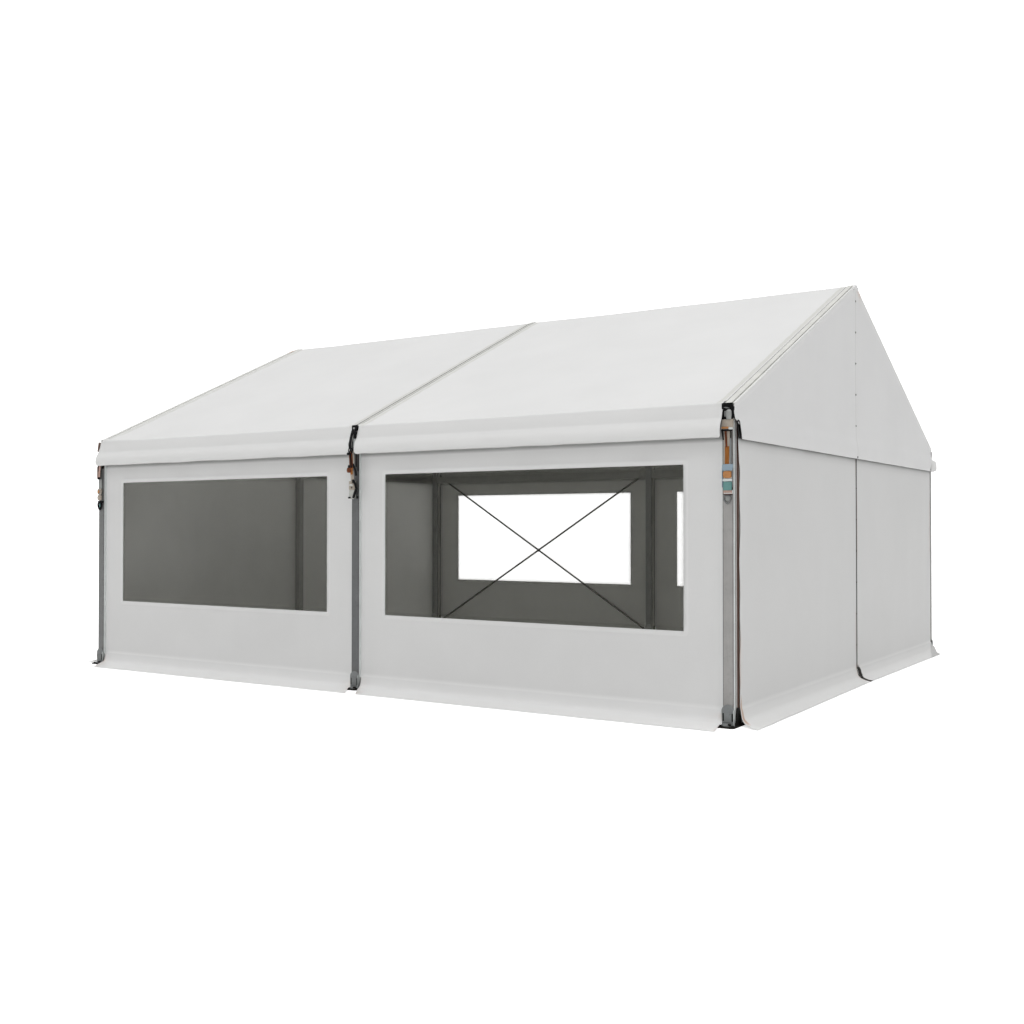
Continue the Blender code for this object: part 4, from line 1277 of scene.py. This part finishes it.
def makeFoot(side, place, x):
    # a round-cornered black plate with stake heads, a domed shoe at the face and the back, a black plate on
    # each flank as painted shade
    width, depth, thick, corner = foot["plate"]
    middle = -tent["half"] - foot["front"] + depth / 2
    # the black plate also stands in for the shade on the ground by the foot: painted shade
    parts = [(slab(roundRect(width, depth, corner), thick, 0.0015, lambda u, v, w: (u, v + middle, w)), 0)]
    wide, high, deep = foot["shoe"]
    r = wide / 2
    angle = np.linspace(0, math.pi, 17)
    dome = np.stack([r * np.cos(angle), high - 0.95 * r + 0.95 * r * np.sin(angle)], 1)
    dome = np.concatenate([[(r - 0.004, 0.005)], dome, [(0.004 - r, 0.005)]])
    panelWide, panelLow, panelHigh, panelThick = foot["panel"]
    slotWide, slotAt, slotLow, slotHigh = foot["slot"]
    toeWide, toeHigh, toeOut = foot["toe"]
    boltWide, boltHigh, boltCorner = foot["bolt"]
    glintWide, glintHigh, glintThick = foot["glint"]
    toe = [
        (0.0, 0.004), (toeOut, 0.004), (toeOut, 0.010), (0.012, toeHigh * 0.7), (0.002, toeHigh),
        (0.0, toeHigh)
    ]
    for face, way in ((-tent["half"] - 0.0003, -1), (leg["depth"] - tent["half"] + 0.0003, 1)):
        front = face + way * deep
        parts.append((slab(dome, deep, 0.002, lambda u, v, w: (u, face + way * w, v)), 1))
        panel = roundRect(panelWide, panelHigh - panelLow, 0.003)
        panelZ = (panelHigh + panelLow) / 2
        parts.append(
            (slab(panel, panelThick, 0.0012, lambda u, v, w: (u, front + way * (w - 0.0005), v + panelZ)), 1)
        )
        slot = roundRect(slotWide, slotHigh - slotLow, 0.003)
        slotZ = (slotHigh + slotLow) / 2
        for off in (-slotAt, slotAt):
            parts.append(
                (slab(slot, 0.0012, 0.0004, lambda u, v, w: (u + off, front + way * w, v + slotZ)), 0)
            )
        parts.append(
            (slab(toe, toeWide, 0.002, lambda u, v, w: (w - toeWide / 2, front + way * (u - 0.001), v)), 1)
        )
        radius, flat = foot["tongue"]
        tongue = np.stack([radius * np.cos(angle), radius * np.sin(angle)], 1)
        parts.append(
            (slab(tongue, flat, 0.0025, lambda u, v, w: (u, face + way * (v + 0.001), w + 0.007)), 1)
        )
        bolt = roundRect(boltWide, boltWide, boltCorner)
        parts.append(
            (slab(bolt, boltHigh, 0.002, lambda u, v, w: (u + 0.020, face + way * (v + 0.030), w + 0.012)), 0)
        )
        glint = roundRect(glintWide, glintHigh, 0.0015)
        parts.append(
            (slab(glint, glintThick, 0.0006, lambda u, v, w: (u + r - 0.003, front + way * w, v + 0.058)), 2)
        )
    thickness, top, footHalf, topHalf = foot["wing"]
    flankShadeOutline = [
        (-footHalf, 0.006), (footHalf, 0.006), (topHalf, top - 0.006), (topHalf - 0.006, top), (-topHalf, top)
    ]
    legMiddle = leg["depth"] / 2 - tent["half"] - 0.004
    for way in (-1, 1):
        flank = way * (leg["width"] / 2 + 0.0004)
        parts.append((slab(flankShadeOutline, thickness, 0.001, lambda u, v, w: (flank + way * w, u + legMiddle, v)), 0))
    radius, awayX, awayY, high = foot["spike"]
    for sx in (-1, 1):
        for sy in (-1, 1):
            atX, atY = sx * awayX, middle + sy * awayY
            head = circle(radius, 14)
            parts.append((slab(head, high, 0.003, lambda u, v, w: (u + atX, v + atY, w + 0.004)), 0))
    points, faces, numbers = gather(parts)
    points = turned(points, side) + (x, 0, 0)
    node = f"foot_{side}_{place}"
    finishes = ("plateSteel", "shoeSteel", "brightSteel")
    putPiece(f"{node}_shoe", points, faces, finishes, [node], numbers=numbers, sharp=35)


for side in ("front", "back"):
    for place, x in frames.items():
        makeFoot(side, place, x)
print("feet made")

# Eave tensioners
# Each row: piece, shape, finish, across the leg, width, low, high, off the leg's face, thickness.
# Across and off may change from the top to the bottom: then they are tuples.
# The one at the right corner, which the whole back repeats
capped = [
    ("cap", "plate", "capSteel", 0.002, 0.070, 1.886, 1.990, 0.0005, 0.010),
    ("cap", "plate", "capSteel", -0.028, 0.010, 1.890, 1.986, 0.009, 0.007),
    ("cap", "plate", "capSteel", 0.032, 0.010, 1.890, 1.986, 0.009, 0.007),
    ("cap", "plate", "capSteel", 0.002, 0.068, 1.974, 1.989, 0.009, 0.009),
    # the next two: painted highlights on the black cap, in a leg's grey
    ("cap", "plate", "farLeg", (-0.014, 0.008), 0.026, 1.955, 1.964, 0.009, 0.004),
    ("cap", "plate", "farLeg", -0.012, 0.012, 1.905, 1.940, 0.009, 0.003),
    ("cap", "plate", "capSteel", 0.0385, 0.003, 1.896, 1.968, -0.020, 0.030),
    ("cap", "plate", "capSteel", -0.0385, 0.003, 1.896, 1.968, -0.020, 0.030),
    ("cap", "pin", "pinSteel", 0.014, 0.037, 1.886, 1.950, 0.010, 0.014),
    ("loop", "loop", "loopWeb", 0.004, 0.072, 1.834, 1.888, 0.002, 0.018),
    ("loop", "plate", "padWeb", -0.010, 0.046, 1.830, 1.842, 0.018, 0.003),
    # a painted highlight on the loop
    ("loop", "plate", "brightSteel", 0.026, 0.026, 1.824, 1.838, 0.012, 0.009),
    ("bar", "rod", "capSteel", 0.004, 0.060, 1.815, 1.825, 0.008, 0.010),
    ("strap", "strap", "loopWeb", 0.001, 0.046, 1.606, 1.824, (0.003, 0.004, 0.010), 0.003),
    ("strap", "strap", "brownWeb", (-0.010, -0.004), 0.013, 1.716, 1.822, (0.007, 0.008), 0.004),
    ("strap", "strap", "strapWeb", 0.000, 0.027, 1.606, 1.722, (0.008, 0.012), 0.003),
    ("strap", "plate", "shoeSteel", 0.023, 0.010, 1.618, 1.775, 0.012, 0.002),
    ("strap", "plate", "cableSteel", 0.025, 0.011, 1.770, 1.815, 0.012, 0.002),
    ("hook", "strap", "blackWeb", (-0.034, -0.030, -0.026), 0.010, 1.762, 1.826, (0.006, 0.004), 0.005),
    ("ratchet", "plate", "brightSteel", 0.004, 0.058, 1.428, 1.580, 0.0005, 0.009),
    ("ratchet", "plate", "ratchetPaint", 0.004, 0.068, 1.573, 1.612, 0.003, 0.018),
    ("ratchet", "plate", "ratchetPaint", -0.029, 0.004, 1.470, 1.590, 0.0005, 0.020),
    ("ratchet", "plate", "farLeg", 0.036, 0.004, 1.470, 1.590, 0.0005, 0.018),
    ("ratchet", "rod", "brightSteel", 0.004, 0.064, 1.506, 1.522, 0.008, 0.012),
    ("winding", "roll", "padWeb", 0.003, 0.052, 1.526, 1.571, 0.004, 0.020),
    ("handle", "plate", "tealPlastic", 0.006, 0.055, 1.451, 1.504, (0.008, 0.013), 0.012),
    # painted shade down the handle's right side
    ("handle", "plate", "gapMetal", 0.0355, 0.003, 1.452, 1.508, (0.004, 0.008), 0.014),
    ("tail", "plate", "paleWeb", 0.005, 0.056, 1.428, 1.452, (0.013, 0.009), 0.005),
    # a painted highlight across the tail
    ("tail", "plate", "brightSteel", 0.006, 0.050, 1.431, 1.436, 0.0142, 0.002),
    ("tail", "rod", "capSteel", 0.005, 0.056, 1.421, 1.428, 0.006, 0.008),
    ("ring", "ring", "farLeg", -0.002, 0.054, 1.366, 1.424, 0.002, 0.010),
    ("ring", "plate", "pinSteel", 0.000, 0.028, 1.386, 1.420, 0.001, 0.004),
]
# The one whose strap runs over the hem in front of the middle leg
draped = [
    ("bracket", "plate", "capSteel", 0.003, 0.056, 1.956, 1.998, 0.0005, 0.014),
    ("bracket", "plate", "pinSteel", -0.002, 0.016, 1.967, 1.981, 0.013, 0.004),
    ("bracket", "roll", "capSteel", 0.022, 0.034, 1.922, 1.953, 0.022, 0.018),
    ("bracket", "roll", "capSteel", 0.026, 0.020, 1.892, 1.924, 0.026, 0.014),
    # a painted highlight beside the strap over the hem
    ("guide", "strap", "brightSteel", 0.018, 0.020, 1.828, 1.940, (0.010, 0.034, 0.036), 0.003),
    (
        "upper_strap", "strap", "capSteel", (-0.008, 0.000, 0.001), 0.023, 1.795, 1.960,
        (0.018, 0.046, 0.064, 0.060), 0.004
    ),
    ("hook", "ring", "capSteel", 0.006, 0.046, 1.768, 1.826, 0.056, 0.012),
    ("hook", "roll", "capSteel", -0.008, 0.028, 1.768, 1.788, 0.058, 0.018),
    ("hook", "plate", "brownWeb", 0.012, 0.022, 1.772, 1.792, 0.060, 0.004),
    ("strap", "strap", "loopWeb", 0.016, 0.018, 1.665, 1.800, (0.046, 0.040), 0.003),
    ("strap", "strap", "brownWeb", (-0.004, 0.000), 0.034, 1.665, 1.800, (0.050, 0.044), 0.004),
    ("strap", "strap", "capSteel", (-0.005, 0.004), 0.013, 1.672, 1.800, (0.056, 0.050), 0.002),
    ("lower_hook", "roll", "capSteel", -0.019, 0.022, 1.668, 1.696, 0.040, 0.014),
    ("lower_hook", "roll", "brownWeb", -0.018, 0.042, 1.636, 1.676, 0.040, 0.016),
    ("lower_hook", "plate", "strapWeb", 0.004, 0.022, 1.622, 1.676, 0.046, 0.005),
    ("lower_hook", "strap", "capSteel", (0.014, 0.038, 0.048), 0.018, 1.612, 1.702, 0.042, 0.007),
    ("lower_strap", "strap", "loopWeb", 0.002, 0.032, 1.575, 1.650, (0.040, 0.034), 0.003),
    ("ratchet", "plate", "loopWeb", -0.012, 0.056, 1.508, 1.574, 0.012, 0.018),
    # the ratchet's lower roll in the darker rib paint: painted shade
    ("ratchet", "roll", "ribShade", -0.011, 0.054, 1.438, 1.516, 0.012, 0.018),
    ("ratchet", "roll", "ribPaint", -0.014, 0.034, 1.536, 1.552, 0.028, 0.010),
    ("ratchet", "plate", "cableSteel", -0.002, 0.012, 1.558, 1.570, 0.029, 0.004),
    ("ratchet", "plate", "cableSteel", -0.010, 0.012, 1.518, 1.530, 0.029, 0.004),
    ("ratchet", "roll", "capSteel", -0.032, 0.020, 1.442, 1.456, 0.026, 0.012),
    (
        "lever", "strap", "capSteel", (0.004, 0.036, 0.046, 0.028, 0.008), 0.020, 1.446, 1.582,
        (0.030, 0.038, 0.036, 0.028), 0.010
    ),
    ("lever", "roll", "capSteel", 0.050, 0.020, 1.440, 1.458, 0.026, 0.012),
    # painted shadow of the hem on the leg: two dark bars
    ("grooves", "plate", "gapMetal", 0.008, 0.012, 1.680, 1.800, 0.0004, 0.0015),
    ("grooves", "plate", "gapMetal", 0.028, 0.010, 1.650, 1.800, 0.0004, 0.0015),
]
# The one at the left corner: its strap is edged in black, and a ring hangs under the buckles
edged = [
    # the next three: painted shade on and beside the leg under the hem
    ("cap", "plate", "channelMetal", (-0.024, -0.040), 0.020, 1.905, 1.990, 0.0005, 0.010),
    ("cap", "plate", "gapMetal", 0.010, 0.036, 1.800, 1.970, 0.0005, 0.003),
    ("cap", "plate", "gapMetal", 0.020, 0.032, 1.752, 1.802, 0.0005, 0.003),
    ("strap", "plate", "capSteel", -0.014, 0.044, 1.656, 1.800, (0.012, 0.016), 0.004),
    ("strap", "strap", "paleWeb", (0.002, -0.005), 0.024, 1.676, 1.815, (0.017, 0.021), 0.003),
    ("strap", "plate", "brownWeb", -0.030, 0.012, 1.665, 1.770, 0.018, 0.003),
    ("tape", "strap", "pinSteel", -0.010, 0.046, 1.560, 1.660, 0.004, 0.003),
    ("buckle", "roll", "loopWeb", -0.008, 0.046, 1.518, 1.572, 0.004, 0.020),
    ("buckle", "plate", "padWeb", -0.006, 0.022, 1.532, 1.558, 0.0245, 0.003),
    ("buckle", "roll", "loopWeb", -0.010, 0.048, 1.466, 1.516, 0.004, 0.016),
    ("ring", "plate", "capSteel", 0.002, 0.072, 1.444, 1.462, 0.004, 0.010),
    ("ring", "ring", "capSteel", -0.010, 0.056, 1.376, 1.456, 0.004, 0.015),
    ("ring", "plate", "tealPlastic", -0.008, 0.022, 1.404, 1.444, 0.004, 0.006),
]
tensionerRows = dict(left=edged, middle=draped, right=capped)


def tuned(value, z, low, high):
    # a value that may change evenly from the top to the bottom
    stops = np.atleast_1d(value)
    return np.interp((high - z) / (high - low), np.linspace(0, 1, len(stops)), stops)


def plateShape(across, width, low, high, off, thick):
    outline = roundRect(width, high - low, min(0.006, width * 0.3, (high - low) * 0.3), 3)
    outline[:, 1] += (low + high) / 2

    def put(u, z, w):
        return u + tuned(across, z, low, high), -tent["half"] - tuned(off, z, low, high) - w, z

    return slab(outline, thick, min(0.0018, thick * 0.3), put)


def strapShape(across, width, low, high, off, thick):
    z = np.linspace(high, low, max(6, round((high - low) / 0.008)))
    buckle = 0.0008 * np.sin((high - z) / 0.013)
    path = np.stack(
        [tuned(across, z, low, high), -tent["half"] - tuned(off, z, low, high) - buckle - thick / 2, z], 1
    )
    return sweep(path, roundRect(thick, width, thick * 0.4, 2), up=(1, 0, 0))


def loopShape(across, width, low, high, off, thick):
    # webbing round a bar: an upright oval seen from its edge
    turn = fullTurn(28)
    y = -tent["half"] - off - thick / 2 - (thick / 2 - 0.0015) * np.cos(turn)
    z = (low + high) / 2 + ((high - low) / 2 - 0.0015) * np.sin(turn)
    return sweep(
        np.stack([0 * turn + across, y, z], 1), roundRect(0.003, width, 0.0012, 2), up=(1, 0, 0), closed=True
    )


def rollShape(across, width, low, high, off, thick, sides=20):
    # an oval bar across the leg, a little slimmer at its ends
    line = np.linspace(-0.5, 0.5, 9)
    swell = np.array([0.78, 0.94, 0.98, 1.0, 1.0, 1.0, 0.98, 0.94, 0.78])[:, None]
    turn = fullTurn(sides)[None]
    y = -tent["half"] - off - thick / 2 + swell * thick / 2 * np.cos(turn)
    z = (low + high) / 2 + swell * (high - low) / 2 * np.sin(turn)
    points = np.stack([across + width * line[:, None] + 0 * turn, y, z], -1)
    return points.reshape(-1, 3), tubeFaces(9, sides)


def rodShape(across, width, low, high, off, thick):
    return rollShape(across, width, low, high, off, thick, 12)


def pinShape(across, width, low, high, off, thick):
    # an upright pin, round at its top
    share = np.array([0.0, 0.25, 0.5, 0.75, 0.88, 0.97, 1.0])[:, None]
    girth = np.array([0.82, 0.95, 1.0, 0.96, 0.80, 0.48, 0.12])[:, None]
    turn = fullTurn(18)[None]
    x = across + girth * width / 2 * np.cos(turn)
    y = -tent["half"] - off - girth * thick / 2 * (1 + np.sin(turn))
    points = np.stack([x, y, low + (high - low) * share + 0 * turn], -1)
    return points.reshape(-1, 3), tubeFaces(7, 18)


def ringShape(across, width, low, high, off, thick):
    # a bent bar: square shoulders at the top, drawn to a round point at the bottom
    bar = thick / 2
    half, top, bottom = width / 2 - bar, high - bar, low + bar
    shoulder, point = top - (high - low) * 0.45, 0.15 * half
    corners = [
        (-half, top), (half, top), (half, shoulder), (point, bottom), (-point, bottom), (-half, shoulder)
    ]
    smooth = rounded(np.array(corners + corners[:2], float), 3)
    start = len(smooth) // 14
    closed = evenly(np.concatenate([smooth[start:-start], smooth[start : start + 1]]), 0.005)[:-1]
    path = np.stack([closed[:, 0] + across, 0 * closed[:, 0] - tent["half"] - off - bar, closed[:, 1]], 1)
    return sweep(path, circle(bar, 10), up=(0, 1, 0), closed=True)


shapes = dict(
    plate=plateShape,
    strap=strapShape,
    loop=loopShape,
    roll=rollShape,
    rod=rodShape,
    pin=pinShape,
    ring=ringShape,
)


def makeTensioner(side, place, x):
    # every row becomes a closed shell, and the rows of one piece are joined as one mesh
    node = f"eave_tensioner_{side}_{place}"
    pieces = {}
    for name, shape, surface, *sizes in tensionerRows[place] if side == "front" else capped:
        pieces.setdefault(name, []).append((shapes[shape](*sizes), surface))
    for name, parts in pieces.items():
        finishes = list(dict.fromkeys(surface for _, surface in parts))
        points, faces, numbers = gather([(part, finishes.index(surface)) for part, surface in parts])
        uv = points[:, [0, 2]]
        put = turned(points, side) + (x, 0, 0)
        putPiece(f"{node}_{name}", put, faces, finishes, [node], uv, numbers=numbers, sharp=40)


for side in ("front", "back"):
    for place, x in frames.items():
        makeTensioner(side, place, x)
print("eave tensioners made")

# Crossed cables
cable = dict(
    radius=0.0105,
    inset=0.0395,  # from the legs' outer face
    flank=0.0363,  # from a frame's middle to its leg's flank
    top=1.850,
    low=0.050,
    pitch=0.055,
    coupling=(0.021, 0.016),
    lug=(0.030, 0.040, 0.016),
    sleeves=((0.014, 0.075, 0.0122), (0.078, 0.110, 0.0116)),  # from, to and radius of the sleeves at a lug
)


def makeCables():
    # each rope is a circle with six bulges, radius * (0.88 + 0.12 * |cos(3 a)|), that turns as it runs
    y = tent["half"] - cable["inset"]
    reach = tent["bay"] / 2 - cable["flank"]
    middle = np.array([-tent["bay"] / 2, y, (cable["top"] + cable["low"]) / 2])
    angle = fullTurn(18)
    bulge = cable["radius"] * (0.88 + 0.12 * np.abs(np.cos(3 * angle)))
    rope = np.stack([np.cos(angle), np.sin(angle)], 1) * bulge[:, None]
    wide, high, deep = cable["lug"]
    lug = [(0, high / 2), (wide * 0.6, high / 2), (wide, high / 5)]
    lug = rounded(lug + [(x, -z) for x, z in lug[::-1]], 1)
    radius, thick = cable["coupling"]

    def arm(way, z, stop):
        start = middle + (way * (reach - 0.015), 0, z - middle[2])
        along = middle - start
        length = np.linalg.norm(along)
        along = along / length
        line = start + np.linspace(0, length - stop, round(length / 0.014))[:, None] * along
        parts = [(sweep(line, rope, up=(0, 1, 0), twist=2 * math.pi * length / cable["pitch"] / 6), 0)]
        for near, far, size in cable["sleeves"]:
            sleeve = start + np.linspace(near, far, 5)[:, None] * along
            parts.append((sweep(sleeve, circle(size, 12), up=(0, 1, 0)), 1))
        edge = middle[0] + way * reach
        parts.append((slab(lug, deep, 0.002, lambda u, v, w: (edge - way * u, y - deep / 2 + w, z + v)), 1))
        return parts

    def across(u, v, w):
        return u + middle[0], y - thick / 2 + w, v + middle[2]

    disc = slab(roundRect(radius * 1.8, radius * 1.8, 0.010), thick, 0.002, across)
    lengths = dict(
        back_cable_rising=arm(-1, cable["low"], 0.0) + arm(1, cable["top"], 0.0) + [(disc, 1)],
        back_cable_falling_upper=arm(-1, cable["top"], radius),
        back_cable_falling_lower=arm(1, cable["low"], radius),
    )
    for node, parts in lengths.items():
        points, faces, numbers = gather(parts)
        finishes = ("cableSteel", "plateSteel")
        putPiece(f"{node}_rope", points, faces, finishes, [node], numbers=numbers, sharp=50)


makeCables()
print("cables made")

# Finishes of the frame's own nodes that stay
kept = dict(eave_purlin="purlinMetal", ridge_purlin="purlinMetal", gable_post="postMetal")
for name, node in nodes.items():
    for start, key in kept.items():
        if name.startswith(start):
            node.data.materials.clear()
            node.data.materials.append(finish[key])
